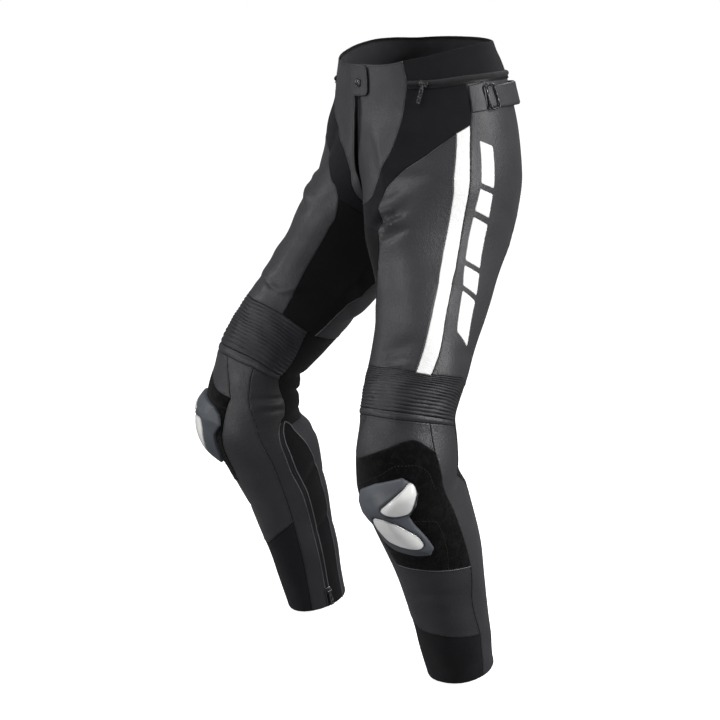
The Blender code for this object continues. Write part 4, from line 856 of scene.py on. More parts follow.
def plate(name, side, loop, top, bottom, stuffs, step=CLOTH_STEP, rows=ROWS_IN, gap=0.0,
          crosses=False, shade=None):
    """A thin wall over an outline.  top and bottom give its faces' lifts at the
    points' spots (angle, along) and flat points, from their distance behind the
    edge and travel round it; shade gives another distance for the seams' painted shade."""
    polygon = flat(loop[:, 0], loop[:, 1])
    if area_of(polygon) > 0:
        loop, polygon = loop[::-1], polygon[::-1]
    count, within = len(polygon), field(polygon, step, rows)
    points = np.concatenate((polygon, within))
    cut = delaunay_2d_cdt([Vector(p) for p in points.tolist()], [],
                          [list(range(count))[::-1]], 1, 1e-6, True)
    faces = np.array([[cut[3][i][0] for i in face] for face in cut[2]])
    faces = faces[inside(points[faces].mean(axis=1), polygon)]
    a, b, c = (points[faces[:, i]] for i in range(3))
    turn = (b[:, 0] - a[:, 0]) * (c[:, 1] - a[:, 1]) - (b[:, 1] - a[:, 1]) * (c[:, 0] - a[:, 0])
    faces = np.where((turn < 0)[:, None], faces, faces[:, ::-1])
    at = SimpleNamespace(spots=np.concatenate((loop, unflat(within))), points=points)
    at.distance, at.travel = reading(points, polygon)
    at.distance[:count] = 0
    walls = [place(side, *at.spots.T, lift(at)) for lift in (top, bottom)]
    normals = outward_normal(loop[:, 0], slid(side, loop[:, 1]))
    for face in walls:
        face[:count] = pulled_in(face[:count], normals, gap)
        if not crosses:
            keep_to_side(face)
    distance = shade(points) if shade else at.distance
    return wall(name, side, *walls, faces, np.arange(count), stuffs, points,
                np.concatenate((distance, distance + FAR)))


def rolled(distance, roll):
    """How far a turned edge drops: a quarter ellipse over its width."""
    width, depth = roll
    t = 1 - np.minimum(distance / width, 1)
    return -depth * (1 - np.sqrt(np.maximum(1 - t * t, 0)))


def puckers(distance, travel):
    """Ripples beside a seam: sine of the travel, wandering a little in length,
    and fading as exp(-(distance)^2)."""
    wander = sum(turn * np.sin(2 * math.pi * travel / length) for turn, length in PUCKER_WANDER)
    wave = np.sin(2 * math.pi * travel / PUCKER_LENGTH + wander)
    return PUCKER_HEIGHT * wave * np.exp(-(distance / PUCKER_REACH)**2)


def flap(side, spots):
    """The right side of the front lies over the fly, its waist tab on the left
    side: it stands off by a rise that fades away from the fly and at its end."""
    if side == "left":
        return np.zeros(len(spots))
    aside = section_point(spots[:, 0], spots[:, 1])[:, 0]
    return FLAP_RISE * (1 - rising(aside, *FLAP_FADE)) * (1 - rising(spots[:, 1], *FLAP_END))


def pad_groove(points):
    """Troughs that the border sewing pulls into the knee pad."""
    total = np.zeros(len(points))
    for through in PAD_LINES.values():
        line = flat(*curve(through, "left", GROOVE_STEP).T)
        away = np.min(np.linalg.norm(points[:, None] - line, axis=-1), axis=1)
        total = total - GROOVE_DEPTH * np.exp(-(away / GROOVE_WIDTH)**2)
    return total


def declare_cut(made, polygon):
    """Works out the width, length and area that a panel was cut to: its outline in
    the plane, taken in lengthwise where the worn leg is shorter than its pattern,
    as at a bent knee.  Nothing is done with them."""
    areas = np.zeros(len(made.data.polygons))
    made.data.polygons.foreach_get("area", areas)
    share = min(1.0, areas.sum() / 2 / abs(area_of(polygon)))
    width, length, area = cut_size(polygon * (1, share))
    width, length = math.ceil(width * 1000) / 1000, math.ceil(length * 1000) / 1000


def panel(piece, side):
    """One cut piece of the trousers: its wall, with rolled edges and puckers."""
    stuff, seams = PIECES[piece]
    loop, _ = outline(seams, side)
    woven = SLOTS[stuff] == "stretch"
    soft = woven or stuff == "hook pad"

    def level(at):
        stand_off = flap(side, at.spots) if piece == "front_panel" else 0 * at.distance
        return LIFTS.get(piece, 0.0) + stand_off

    def top(at):
        if stuff == "zip":
            return level(at)
        high = level(at) + rolled(at.distance, STRETCH_ROLL if soft else LEATHER_ROLL)
        if woven:
            return high + SOFT_PUCKERS * puckers(at.distance, at.travel)
        if soft:
            return high + PAD_PILLOW * rising(at.distance, 0, PAD_REACH) + pad_groove(at.points)
        ridge = SEAM_RIDGE * (1 - rising(at.distance, *RIDGE_REACH))
        if piece in ("welt", "stripe"):
            ridge = WELT_ROUND * rising(at.distance, *WELT_REACH) if piece == "welt" else 0
        return high + ridge + puckers(at.distance, at.travel)

    tabbed = (piece, side) == ("front_panel", "right")
    made = plate(f"{piece}_{side}_shell", side, loop, top,
                 lambda at: level(at) - (STRETCH if woven else LEATHER),
                 [stuff, "lining" if "leather" in stuff else stuff],
                 gap=SHELL_GAP, crosses=tabbed)
    declare_cut(made, flat(loop[:, 0], loop[:, 1]))
    return dress(made, [f"{piece}_{side}"] + ["snap_tab"] * tabbed)


def rim_of(rows, columns):
    """Numbers of a grid's points, and of those round its four sides in order."""
    index = np.arange(rows * columns).reshape(rows, columns)
    return index, np.concatenate((index[:, 0], index[-1, 1:], index[-2::-1, -1],
                                  index[0, -2:0:-1]))


def grids(side, angles, alongs, *lifts):
    """The same spots at each lift, kept to their own half of the garment."""
    faces = [place(side, angles, alongs, lift) for lift in lifts]
    for face in faces:
        keep_to_side(face)
    return faces


def grid_piece(name, side, outer, inner, stuffs, pattern, distance=None):
    """A closed wall from two grids of points, rows down and columns round."""
    index, rim = rim_of(*outer.shape[:2])
    faces = quads(index[:-1, :-1], index[1:, :-1], index[1:, 1:], index[:-1, 1:])
    away = np.full(2 * index.size, FAR) if distance is None else np.tile(distance.ravel(), 2)
    return wall(name, side, outer.reshape(-1, 3), inner.reshape(-1, 3), faces, rim, stuffs,
                pattern.reshape(-1, 2), away)


def run_of(seams, side, step):
    """Seams that follow one another, as one line of points."""
    runs = [curve(knots(seam, side), side, step) for seam in seams]
    return np.concatenate([run[:-1] for run in runs] + [runs[-1][-1:]])


def ribs(side):
    """The ribbed piece: rows from the top seam to the bottom one, raised by
    RIB_HEIGHT x |sine|^RIB_POWER of the share down; wear flattens some of the front."""
    parts = ("inner", "front", "stripe", "outer")
    top = run_of([f"ribs top {part}" for part in parts], side, RIB_STEP)
    rows, columns = RIB_ROWS * RIB_COUNT + 1, len(top)
    bottom, inner_end, outer_end = (
        curve(knots(f"ribs {part}", side), side, CUT_STEP, count=count - 1)
        for part, count in (("bottom", columns), ("inner end", rows), ("outer end", rows)))
    down = np.linspace(0, 1, rows)[:, None, None]
    turn = np.linspace(0, 1, columns)[None, :, None]
    grid = top * (1 - down) + bottom * down
    grid = grid + (inner_end[:, None] - grid[:, :1]) * (1 - turn)
    grid = grid + (outer_end[:, None] - grid[:, -1:]) * turn
    down, turn = down[..., 0], turn[..., 0]
    share = down + RIB_WANDER * np.sin(9 * turn * math.pi + 4 * down)
    fullness = 0.8 + 0.2 * np.sin(23 * turn + 14 * down)
    if side == "left":
        much, middle, width = RIB_WEAR
        fullness = fullness * (1 - much * np.exp(-((turn - middle) / width)**2))
    wave = np.abs(np.sin(math.pi * RIB_COUNT * share))**RIB_POWER
    lift = RIB_HEIGHT * fullness * wave - RIB_SINK
    lift[0], lift[-1] = -RIB_END_SINK, -RIB_END_SINK
    _, rim = rim_of(rows, columns)
    spots = grid.reshape(-1, 2)[rim]
    normals = outward_normal(spots[:, 0], slid(side, spots[:, 1]))
    walls = [place(side, grid[..., 0], grid[..., 1], high) for high in (lift, -LEATHER)]
    for face in walls:
        solid = face.reshape(-1, 3)
        solid[rim] = pulled_in(solid[rim], normals, SEAM_GAP)
    pattern = flat(grid[..., 0], grid[..., 1])
    # Painted shade between the ribs: the seam distance runs from 0 in each groove to RIB_SHADE on
    # each top
    made = grid_piece(f"ribs_{side}_shell", side, *walls, ["ribbed leather", "lining"],
                      pattern, RIB_SHADE * wave)
    declare_cut(made, pattern.reshape(-1, 2)[rim])
    return dress(made, [f"ribs_{side}"])


# ---- lines on the cloth --------------------------------------------------
def tracks(side, line, lift):
    """Spots on the cloth along a line, and at each the directions ahead, across
    and outwards."""
    spots = place(side, line[:, 0], line[:, 1], lift)
    out = outward_normal(line[:, 0], slid(side, line[:, 1]))
    ahead = unit(np.gradient(spots, axis=0))
    across = unit(np.cross(out, ahead))
    return spots, ahead, across, np.cross(ahead, across)


def fans(faces):
    """Quads and triangles of a small shape, all as triangles."""
    return np.array([(face[0], face[i], face[i + 1])
                     for face in faces for i in range(1, len(face) - 1)])


def repeated(spots, ahead, across, out, shape, faces):
    """One small shape at every spot: spot + x ahead + y across + z outwards."""
    points = (spots[:, None] + shape[None, :, :1] * ahead[:, None]
              + shape[None, :, 1:2] * across[:, None] + shape[None, :, 2:] * out[:, None])
    starts = np.arange(len(spots))[:, None, None] * len(shape)
    return points.reshape(-1, 3), (faces[None] + starts).reshape(-1, 3)


def spindle(length, radius, rise):
    """One stitch: three square rings between two tips that dip into the leather."""
    rings = [(-length / 2, 0, -rise)]
    for x, size, lift in ((-0.3, 0.85, 0.0), (0, 1.0, 0.4 * radius), (0.3, 0.85, 0.0)):
        for t in np.radians((45, 135, 225, 315)):
            rings.append((x * length, size * radius * math.cos(t),
                          size * radius * math.sin(t) + lift))
    rings.append((length / 2, 0, -rise))
    faces = [(0, 1 + (i + 1) % 4, 1 + i) for i in range(4)]
    for start in (1, 5):
        faces += [(start + i, start + (i + 1) % 4, start + 4 + (i + 1) % 4, start + 4 + i)
                  for i in range(4)]
    faces += [(13, 9 + i, 9 + (i + 1) % 4) for i in range(4)]
    return np.array(rings), fans(faces)


def block(length, width, height):
    """A tooth: a block whose top is a little smaller than its foot."""
    corners = ((-1, -1), (1, -1), (1, 1), (-1, 1))
    foot = [(x * length / 2, y * width / 2, 0) for x, y in corners]
    top = [(x * length * TOOTH_TOP[0], y * width * TOOTH_TOP[1], height) for x, y in corners]
    faces = [(3, 2, 1, 0), (4, 5, 6, 7), (0, 1, 5, 4), (1, 2, 6, 5), (2, 3, 7, 6), (3, 0, 4, 7)]
    return np.array(foot + top), fans(faces)


STITCH = spindle(STITCH_LENGTH, THREAD_RADIUS, STITCH_DIP)
PAD_STITCH = spindle(*PAD_THREAD)


def sewing_line(piece, side, name):
    """The stitch line inside one seam of a panel, at STITCH_INSET from its edge."""
    loop, spans = outline(PIECES[piece][1], side)
    if name not in spans:
        return np.zeros((0, 2))
    polygon = flat(loop[:, 0], loop[:, 1])
    first, last = spans[name]
    line = np.take(set_in(polygon, STITCH_INSET), range(first, last + 1), axis=0, mode="wrap")
    return unflat(line[reading(line, polygon)[0] > 0.9 * STITCH_INSET])


def stitches(side):
    """All the sewing of one leg's leather: spindles at an even pitch along the
    stitch lines, laid just into the leather."""
    found = []
    for piece, names in SEWN.items():
        level = LIFTS.get(piece, 0.0) + (SEAM_RIDGE if piece != "welt" else WELT_STITCHES)
        for name in names:
            line = sewing_line(piece, side, name)
            if len(line) < 3:
                continue
            line = thinned(line, side, STITCH_PITCH)
            rise = flap(side, line) if piece == "front_panel" else 0.0
            found.append(repeated(*tracks(side, line, level + rise + STITCH_LIFT), *STITCH))
    assembled(f"sewing_{side}", side, found, "thread")


def pad_sewing(side):
    """The thick stitches in the grooves of the knee pad."""
    lift = LIFTS["knee_pad"] + PAD_STITCH_LIFT
    lines = [curve(through, side, PAD_STITCH_PITCH) for through in PAD_LINES.values()]
    assembled(f"pad_sewing_{side}", side,
              [repeated(*tracks(side, line, lift), *PAD_STITCH) for line in lines],
              "pad thread")


def circle(sides):
    """Cosine and sine of even turns, as columns."""
    turns = np.linspace(0, 2 * math.pi, sides, endpoint=False)
    return np.stack((np.cos(turns), np.sin(turns)), -1)


def hose(rings, tips=()):
    """Points and triangles through rings of points, which either end in a cone to
    each tip or join end to start."""
    count, sides = rings.shape[:2]
    index = np.arange(count * sides).reshape(count, sides)
    rows = index if len(tips) else np.concatenate((index, index[:1]))
    ahead = np.roll(rows, -1, axis=1)
    points, faces = rings.reshape(-1, 3), [quads(rows[:-1], ahead[:-1], ahead[1:], rows[1:])]
    if len(tips):
        start = np.full(sides, len(points))
        faces += [np.stack((start, ahead[0], rows[0]), -1),
                  np.stack((start + 1, rows[-1], ahead[-1]), -1)]
        points = np.concatenate((points, tips))
    return points, np.concatenate(faces)


def tube(side, line, lift, radius):
    """A round cord laid along a line: rings of points carried along it, closed at
    both ends by a cone."""
    spots, ahead, across, out = tracks(side, line, lift)
    section = circle(CORD_SIDES)[None]
    ring = section[..., :1] * across[:, None] + section[..., 1:] * out[:, None]
    tips = np.array((spots[0] - 0.5 * radius * ahead[0], spots[-1] + 0.5 * radius * ahead[-1]))
    return hose(spots[:, None] + radius * ring, tips)


def piping(side):
    """Thin cords along some of the seams."""
    assembled(f"piping_{side}", side,
              [tube(side, curve(knots(name, side), side, LINE_STEP), lift, radius)
               for name, lift, radius in PIPED], "piping")


def teeth(name, side, line, lift, size):
    """Two rows of teeth that mesh along a line, every other one to each side."""
    spots, ahead, across, out = tracks(side, line, lift)
    shift = np.where(np.arange(len(spots)) % 2 == 0, 1, -1)[:, None]
    both = repeated(spots + 0.3 * size[1] * shift * across, ahead, across, out, *block(*size))
    assembled(name, side, [both], "zip teeth")


# ---- the knee slider -----------------------------------------------------
def softened(corners, share):
    """A closed outline with its corners cut twice: each edge keeps the part between
    share and 1 - share of its length."""
    loop = np.array(corners, float)
    for _ in range(2):
        ahead = np.roll(loop, -1, axis=0)
        loop = np.stack((loop + share * (ahead - loop), ahead - share * (ahead - loop)),
                        axis=1).reshape(-1, 2)
    return loop


def ring_of(corners, side, step, share=CORNER_CUT):
    """A softened outline as a closed ring of evenly spaced points."""
    loop = softened(corners, share)
    return thinned(np.concatenate((loop, loop[:1])), side, step)[:-1]


def slider_height(points):
    """Height of the slider over its foot: edge + (dome - edge) x sine of the
    distance in, thinner to the inner side and at the lower end."""
    away = np.maximum(signed(points, flat(*np.transpose(KNEE_SLIDER))), 0)
    rounded = np.sin(np.clip(away / SLIDER_RAMP, 0, 1) * math.pi / 2)
    angle, along = unflat(points).T
    first, last, thin = INNER_SIDE
    rounded = rounded * (thin + (1 - thin) * np.clip((angle - first) / (last - first), 0, 1))
    first, last, thin = LOWER_END
    rounded = rounded * (1 - thin * np.clip((along - first) / (last - first), 0, 1))
    return SLIDER_EDGE + (SLIDER_DOME - SLIDER_EDGE) * rounded


def knee_slider(side):
    """The hard slider: a dome with a rounded edge, seats for its two inlays with
    a groove round each, darkened by painted shade, and a shallow bare recess."""
    loop = thinned(KNEE_SLIDER + KNEE_SLIDER[:1], side, FINE_STEP)[:-1]
    seats = [flat(*softened(corners, CORNER_CUT).T) for corners in INLAYS.values()]
    recess = flat(*softened(RECESS, CORNER_CUT).T)

    def top(at):
        high = slider_height(at.points) + rolled(at.distance, SLIDER_ROLL)
        for seat in seats:
            high = high - SEAT_DEPTH * rising(signed(at.points, seat), *SEAT_LIP)
        return high - RECESS_DEPTH * rising(signed(at.points, recess), *RECESS_LIP)

    # Painted shade in the grooves: the seam distance is measured from a line just outside each seat
    def groove(points):
        return np.min([np.abs(signed(points, seat) + SEAT_GROOVE_SHADE) for seat in seats], axis=0)

    made = plate(f"knee_slider_{side}_shell", side, loop, top,
                 lambda at: LIFTS["knee_pad"] + LIE_GAP, ["slider plastic"],
                 *SLIDER_MESH, shade=groove)
    dress(made, [f"knee_slider_{side}"])
    for which, corners in INLAYS.items():
        made = plate(f"knee_inlay_{which}_{side}", side, ring_of(corners, side, FINE_STEP),
                     lambda at: slider_height(at.points) + INLAY_STAND
                     + INLAY_DOME * rising(at.distance, 0, INLAY_REACH)
                     + rolled(at.distance, INLAY_ROLL),
                     lambda at: slider_height(at.points) - INLAY_SINK,
                     ["inlay white"], *INLAY_MESH)
        dress(made, [])


# ---- bars on the thigh ---------------------------------------------------
def bar_outlines():
    """Slanted bars in a row down the outer thigh, each from the place on the line
    where it starts to where it ends, as four corners in pattern coordinates."""
    line = np.array(BAR_LINE, float)
    start = line[0, 1] + BAR_SLANT / 2
    for length in BAR_LENGTHS:
        corners = []
        for along, way in ((start, -1), (start, 1), (start + length, 1), (start + length, -1)):
            angle = float(smooth(along, line[:, 1], line[:, 0]))
            turn = math.degrees(BAR_WIDTH / 2 / float(mean_radius(along)))
            corners.append((angle + way * turn, along + way * BAR_SLANT / 2))
        yield corners
        start += length + BAR_GAP


def side_bars(side):
    """The bars as thin plates with soft corners, their long edges dense enough to
    follow the leg."""
    split = np.linspace(0, 1, 9)[:-1, None]
    for number, corners in enumerate(bar_outlines(), 1):
        edges = np.array(corners, float)
        ahead = np.roll(edges, -1, axis=0)
        dense = np.concatenate([a + split * (b - a) for a, b in zip(edges, ahead)])
        made = plate(f"thigh_bar_{number}_{side}", side, ring_of(dense, side, BAR_STEP, BAR_CUT),
                     lambda at: BAR_WALL + rolled(at.distance, BAR_ROLL), lambda at: BAR_FOOT,
                     ["bar white"], *BAR_MESH)
        dress(made, [])


# ---- waist, strap and fastenings -----------------------------------------
def waist_zip(side):
    """The zip that joins a jacket: a tape with a soft roll over it, worked out as
    a profile across the strip, carried along the waistband's lower edge."""
    line = run_of([f"waist zip {part}" for part in ("front", "side", "back")], side, LINE_STEP)
    share = np.linspace(-1, 1, 17)
    middle, half = ROLL_AT
    roll = ROLL_FOOT + ZIP_ROLL * np.sqrt(np.maximum(1 - ((share + middle) / half)**2, 0))
    profile = np.where(share > TEETH_BED[0], TEETH_BED[1], roll)
    alongs = line[:, 1] + ZIP_HALF * share[:, None]
    angles = np.broadcast_to(line[:, 0], alongs.shape)
    ripple = 1 + 0.10 * np.sin(line[:, 0] * 0.42) * np.sin(line[:, 0] * 0.17)
    walls = grids(side, angles, alongs, profile[:, None] * ripple, LIE_GAP * 0.7)
    made = grid_piece(f"waist_zip_{side}_shell", side, *walls, ["zip"], flat(angles, alongs))
    dress(made, [f"waist_zip_{side}"])
    low = thinned(line + (0, WAIST_TEETH_DROP), side, TOOTH_PITCH)
    teeth(f"waist_teeth_{side}", side, low[1:-1], WAIST_TEETH_LIFT, TEETH["waist"])


def strap_base(side):
    """The tab under the adjuster's ring, with rounded edges: points close together
    behind each edge, and evenly spaced between them."""
    first, last, top, bottom = STRAP_BASE
    height = bottom - top
    width = math.radians(last - first) * float(mean_radius((top + bottom) / 2))
    shares = []
    for size in (width, height):
        edge = np.array((0, 0.25, 0.5, 0.75)) * STRAP_BASE_ROLL[0] / size
        even = np.linspace(EVEN_FROM / size, 1 - EVEN_FROM / size, max(6, round(size / EVEN_STEP)))
        shares.append(np.concatenate((edge, even, 1 - edge[::-1])))
    u, v = np.meshgrid(*shares)
    angles, alongs = first + (last - first) * u, top + height * v
    away = np.minimum(np.minimum(u, 1 - u) * width, np.minimum(v, 1 - v) * height)
    walls = grids(side, angles, alongs, STRAP_BASE_TOP + rolled(away, STRAP_BASE_ROLL), LIE_GAP)
    made = grid_piece(f"strap_base_{side}_shell", side, *walls, ["leather"],
                      flat(angles, alongs), away)
    dress(made, [f"strap_base_{side}"])


def strap_place(u, across):
    """Pattern coordinates on the strap: a share along it, and metres across it."""
    return STRAP[0] + (STRAP[1] - STRAP[0]) * u, STRAP_ALONG + STRAP_FALL * u + across


def strap_bow(u):
    """How far the strap's underside is off the hip at a share along it."""
    t = np.clip(u * (1 + STRAP_FLAT) - STRAP_FLAT, 0, 1)
    return LIE_GAP + STRAP_BOW * np.sin(math.pi * t)**2


def straps(side):
    """The waist adjuster's strap, bowed off the hip, and the sewing along it."""
    u, share = np.meshgrid(np.linspace(0, 1, 90), np.linspace(-0.5, 0.5, 18))
    angles, alongs = strap_place(u, STRAP_WIDTH * share)
    length = math.radians(STRAP[1] - STRAP[0]) * float(mean_radius(STRAP_MIDDLE))
    away = np.minimum((0.5 - np.abs(share)) * STRAP_WIDTH, np.minimum(u, 1 - u) * length)
    bow = strap_bow(u)
    waves = STRAP_WAVE * np.sin(u * 21) * np.sin(share * 5 + 1)
    walls = grids(side, angles, alongs, bow + STRAP_WALL + rolled(away, STRAP_ROLL) + waves, bow)
    made = grid_piece(f"strap_{side}_shell", side, *walls, ["leather"],
                      flat(angles, alongs), away)
    dress(made, [f"strap_{side}"])
    (start, end, inset), found = STRAP_SEWN, []
    for way in (-1, 1):
        offset = way * (0.5 * STRAP_WIDTH - inset)
        line = np.stack(strap_place(np.linspace(start, end, 400), offset), -1)
        line = thinned(line, side, STITCH_PITCH)
        run = (line[:, 0] - STRAP[0]) / (STRAP[1] - STRAP[0])
        found.append(repeated(*tracks(side, line, strap_bow(run) + STRAP_WALL), *STITCH))
    assembled(f"strap_sewing_{side}", side, found, "thread")


def fly():
    """The fly's tape, dark under its open left edge, where it stands in as painted shadow in the
    widened slot, and its teeth.
    """
    alongs = np.linspace(FLY_TOP, FLY_END - FLY_TAIL, 60)
    middle = centre(alongs)
    share = 1 - rising(alongs, FLY_OPEN, FLY_END - FLY_TAIL)
    walls = []
    for lift in FLY_LIFTS:
        row = [place("left", middle + beside, alongs, lift) for beside in
               (0, FLY_ANGLE * 0.4, FLY_ANGLE * 0.86, FLY_ANGLE * (0.9 + 1.9 * share))]
        row[0][:, 0] = 0
        walls.append(np.stack([row[2] * (-1, 1, 1), row[1] * (-1, 1, 1)] + row, axis=1))
    across = np.broadcast_to(FLY_TAPE, (60, 6))
    pattern = np.stack((across, np.broadcast_to(alongs[:, None], (60, 6))), -1)
    made = grid_piece("fly_zip_shell", "left", *walls, ["zip"], pattern)
    dress(made, ["fly_zip"])
    line = thinned(np.stack((middle + 0.5 * FLY_ANGLE * share, alongs), -1), "left", TOOTH_PITCH)
    teeth("fly_teeth", "left", line[2:-2], FLY_LIFTS[0], TEETH["fly"])


def mounting(side, angle, along, lift, turn=0.0):
    """World matrix of a spot on the bare surface: X round the leg, Y up it, Z
    outwards, as the solids' fastenings have it."""
    there = slid(side, along)
    out = outward_normal(np.float64(angle), there)
    spot = section_point(angle, there) + out * lift
    around = section_point(angle + 0.5, there) - section_point(angle - 0.5, there)
    if side == "right":
        spot, out, around = (v * (-1, 1, 1) for v in (spot, out, around))
        around = -around
    around = unit(around)
    axes = Matrix(np.stack((around, np.cross(out, around), out), axis=1).tolist()).to_4x4()
    return Matrix.Translation(spot.tolist()) @ axes @ Matrix.Rotation(math.radians(turn), 4, "Z")


def moved(points, matrix):
    """Points carried by a matrix."""
    matrix = np.array(matrix)
    return points @ matrix[:3, :3].T + matrix[:3, 3]


def turned(profile, matrix, sides=40):
    """A profile of (radius, height) spun round a spot's Z axis; both ends lie on
    the axis."""
    radius, height = np.array(profile, float).T[..., None, None]
    ring = np.pad(circle(sides), ((0, 0), (0, 1)))
    rings = radius[1:-1] * ring + height[1:-1] * (0, 0, 1)
    tips = height[(0, -1), 0] * (0, 0, 1)
    points, faces = hose(rings, tips)
    return moved(points, matrix), faces


def arc(middle, radius, start, end, count):
    """Points on a circle from one angle to another, in degrees."""
    turns = np.radians(np.linspace(start, end, count))
    return [(middle[0] + radius * math.cos(t), middle[1] + radius * math.sin(t)) for t in turns]


def rounded_box(x, y, corner, count, waist=None):
    """A rectangle of half sides x and y with round corners, drawn in by waist at
    the middle of two sides."""
    path = []
    for number, (across, up) in enumerate(((1, 1), (-1, 1), (-1, -1), (1, -1))):
        start = 90 * number
        path += arc((across * (x - corner), up * (y - corner)), corner, start, start + 90, count)
        if waist and number % 2 == 0:
            path.append((0, up * (y - waist)))
    return path


def ring(side):
    """The adjuster's ring: a circle of wire carried round a rounded rectangle."""
    matrix = mounting(side, *RING_AT, LIE_GAP + STRAP_WALL + RING_GAP + RING_WIRE)
    path = np.pad(rounded_box(RING_WIDTH / 2, RING_LENGTH / 2, RING_CORNER, 7), ((0, 0), (0, 1)))
    ahead = unit(np.roll(path, -1, axis=0) - np.roll(path, 1, axis=0))
    aside = np.cross(ahead, (0, 0, 1))
    section = circle(WIRE_SIDES)[None]
    wire = section[..., :1] * aside[:, None] + section[..., 1:] * np.array((0, 0, 1))
    points, faces = hose(path[:, None] + RING_WIRE * wire)
    assembled(f"strap_ring_{side}_shell", "left", [(moved(points, matrix), faces[:, ::-1])],
              "dark metal", [f"strap_ring_{side}"])


def snap():
    """The snap's plain cap: a profile with a rolled rim and a low dome."""
    profile = [(0, 0), (0.0058, 0), (0.0065, 0.0003), (0.0067, 0.0009), (0.0063, 0.0015),
               (0.0057, 0.0018), (0.0051, 0.0016), (0.0047, 0.0013), (0.0038, 0.0016),
               (0.0020, 0.0019), (0, 0.0020)]
    cap = turned(profile, mounting("left", *SNAP_AT, FLAP_RISE))
    assembled("snap_shell", "left", [cap], "dark metal", ["snap"])


def cut_plate(loops, depth, bevel, matrix):
    """Flat loops filled to a plate, with a hole for each loop inside another, its
    edges rounded by bevel; returns points and triangles."""
    shape = bpy.data.curves.new("plate", "CURVE")
    shape.dimensions, shape.fill_mode = "2D", "BOTH"
    shape.extrude, shape.bevel_depth, shape.bevel_resolution = depth / 2 - bevel, bevel, 2
    shape.offset = -bevel
    for loop in loops:
        spline = shape.splines.new("POLY")
        spline.points.add(len(loop) - 1)
        spline.points.foreach_set("co", np.concatenate(
            (np.array(loop), np.zeros((len(loop), 1)), np.ones((len(loop), 1))), 1).ravel())
        spline.use_cyclic_u = True
    cut = bpy.data.objects.new("plate", shape)
    bpy.context.scene.collection.objects.link(cut)
    evaluated = cut.evaluated_get(bpy.context.evaluated_depsgraph_get())
    mesh = bpy.data.meshes.new_from_object(evaluated)
    bpy.data.objects.remove(cut)
    mesh.calc_loop_triangles()
    points = np.array([tuple(v.co) for v in mesh.vertices])
    faces = np.array([tuple(t.vertices) for t in mesh.loop_triangles])
    bpy.data.meshes.remove(mesh)
    return moved(points, matrix), faces


def zip_pull(name, node, body, matrix, lean, length):
    """A pull tab: an eye round the axle, and a plate that hangs from it with round
    ends, a raised rim's look from its bevel, a slit and a round hole near its end."""
    tilt = Matrix.Rotation(math.radians(lean), 4, "X")
    hang = matrix @ Matrix.Translation((0, 0, AXLE_HEIGHT)) @ tilt
    half, end = PULL_WIDTH / 2 - 0.0001, -length + PULL_ROUND
    shoulder = [(PULL_NECK, -0.0012), (PULL_NECK, -0.0050), (half, -0.0085)]
    rim = shoulder + [(half, end)]
    rim += arc((half - PULL_CORNER, end), PULL_CORNER, 0, -90, 5)
    rim += arc((-half + PULL_CORNER, end), PULL_CORNER, -90, -180, 5)
    rim += [(-x, y) for x, y in shoulder[::-1]]
    hole = arc((0, -length + PULL_HOLE[0]), PULL_HOLE[1], 0, 345, 16)
    upper, lower, wide = PULL_SLIT
    slit = arc((0, upper), wide, 0, 180, 7) + arc((0, lower), wide, 180, 360, 7)
    eye = [arc((0, 0), EYE_RADIUS - 0.00005, 0, 348, 30), arc((0, 0), EYE_HOLE, 0, 345, 24)]
    parts = [cut_plate([rim, hole, slit], PULL_WALL, METAL_BEVEL, hang),
             cut_plate(eye, PULL_WIDTH - 0.0022, METAL_BEVEL, hang @ SIDE_ON)]
    assembled(name, "left", parts, "metal", [node], body)


def zip_slider(name, node, matrix, size):
    """A slider: a waisted body, two ears with round tops, and the pull's axle."""
    body = rounded_box(size[0] / 2, size[1] / 2, BODY_CORNER, 5, BODY_WAIST)
    lift = Matrix.Translation((0, 0, SLIDER_BODY / 2))
    parts = [cut_plate([body], SLIDER_BODY, BODY_BEVEL, matrix @ lift)]
    ear = PULL_WIDTH / 2 + EAR_GAP
    profile = [(-EAR_HALF, SLIDER_BODY / 2), (EAR_HALF, SLIDER_BODY / 2)]
    profile += arc((0, AXLE_HEIGHT), EAR_ROUND, 20, 160, 9)
    for sign in (-1, 1):
        at = Matrix.Translation((sign * (ear + EAR_MIDDLE), 0, 0))
        parts.append(cut_plate([profile], EAR_WALL, METAL_BEVEL, matrix @ at @ SIDE_ON))
    half = ear + AXLE_END
    rod = [(0, -half), (AXLE_RADIUS, -half), (AXLE_RADIUS, half), (0, half)]
    lay = Matrix.Translation((0, 0, AXLE_HEIGHT)) @ Matrix.Rotation(math.pi / 2, 4, "Y")
    parts.append(turned(rod, matrix @ lay, 16))
    assembled(name, "left", parts, "metal", [node])


def facing(side):
    """The lining's band inside the waist: a strip a little in from the wall, from
    the front to the middle of the back, with a rolled lower edge."""
    u, v = np.meshgrid(np.linspace(0, 1, 110), np.linspace(0, 1, 14))
    angles = FACING_START + (180 - FACING_START) * u
    edge = smooth(angles, *np.transpose(WAIST_EDGE))
    depth = FACING_DEPTH + FACING_SAG * np.sin(u * 3.1) - edge
    alongs = edge + FACING_DROP + depth * v
    away = np.minimum(v, 1 - v) * FACING_DEPTH
    drop, reach = FACING_ROLL
    high = -FACING_IN - drop * (1 - rising(away, 0, reach)) + 0 * u
    low = high - FACING_WALL - 0.0005 * rising(v, 0.72, 0.80) + 0.0004 * rising(v, 0.9, 1)
    walls = grids(side, angles, alongs, high, low)
    made = grid_piece(f"waist_facing_{side}", side, *walls, ["stretch", "facing"],
                      flat(angles, alongs), away)
    length = float(np.linalg.norm(np.diff(walls[0][7], axis=0), axis=1).sum())
    dress(made, [])


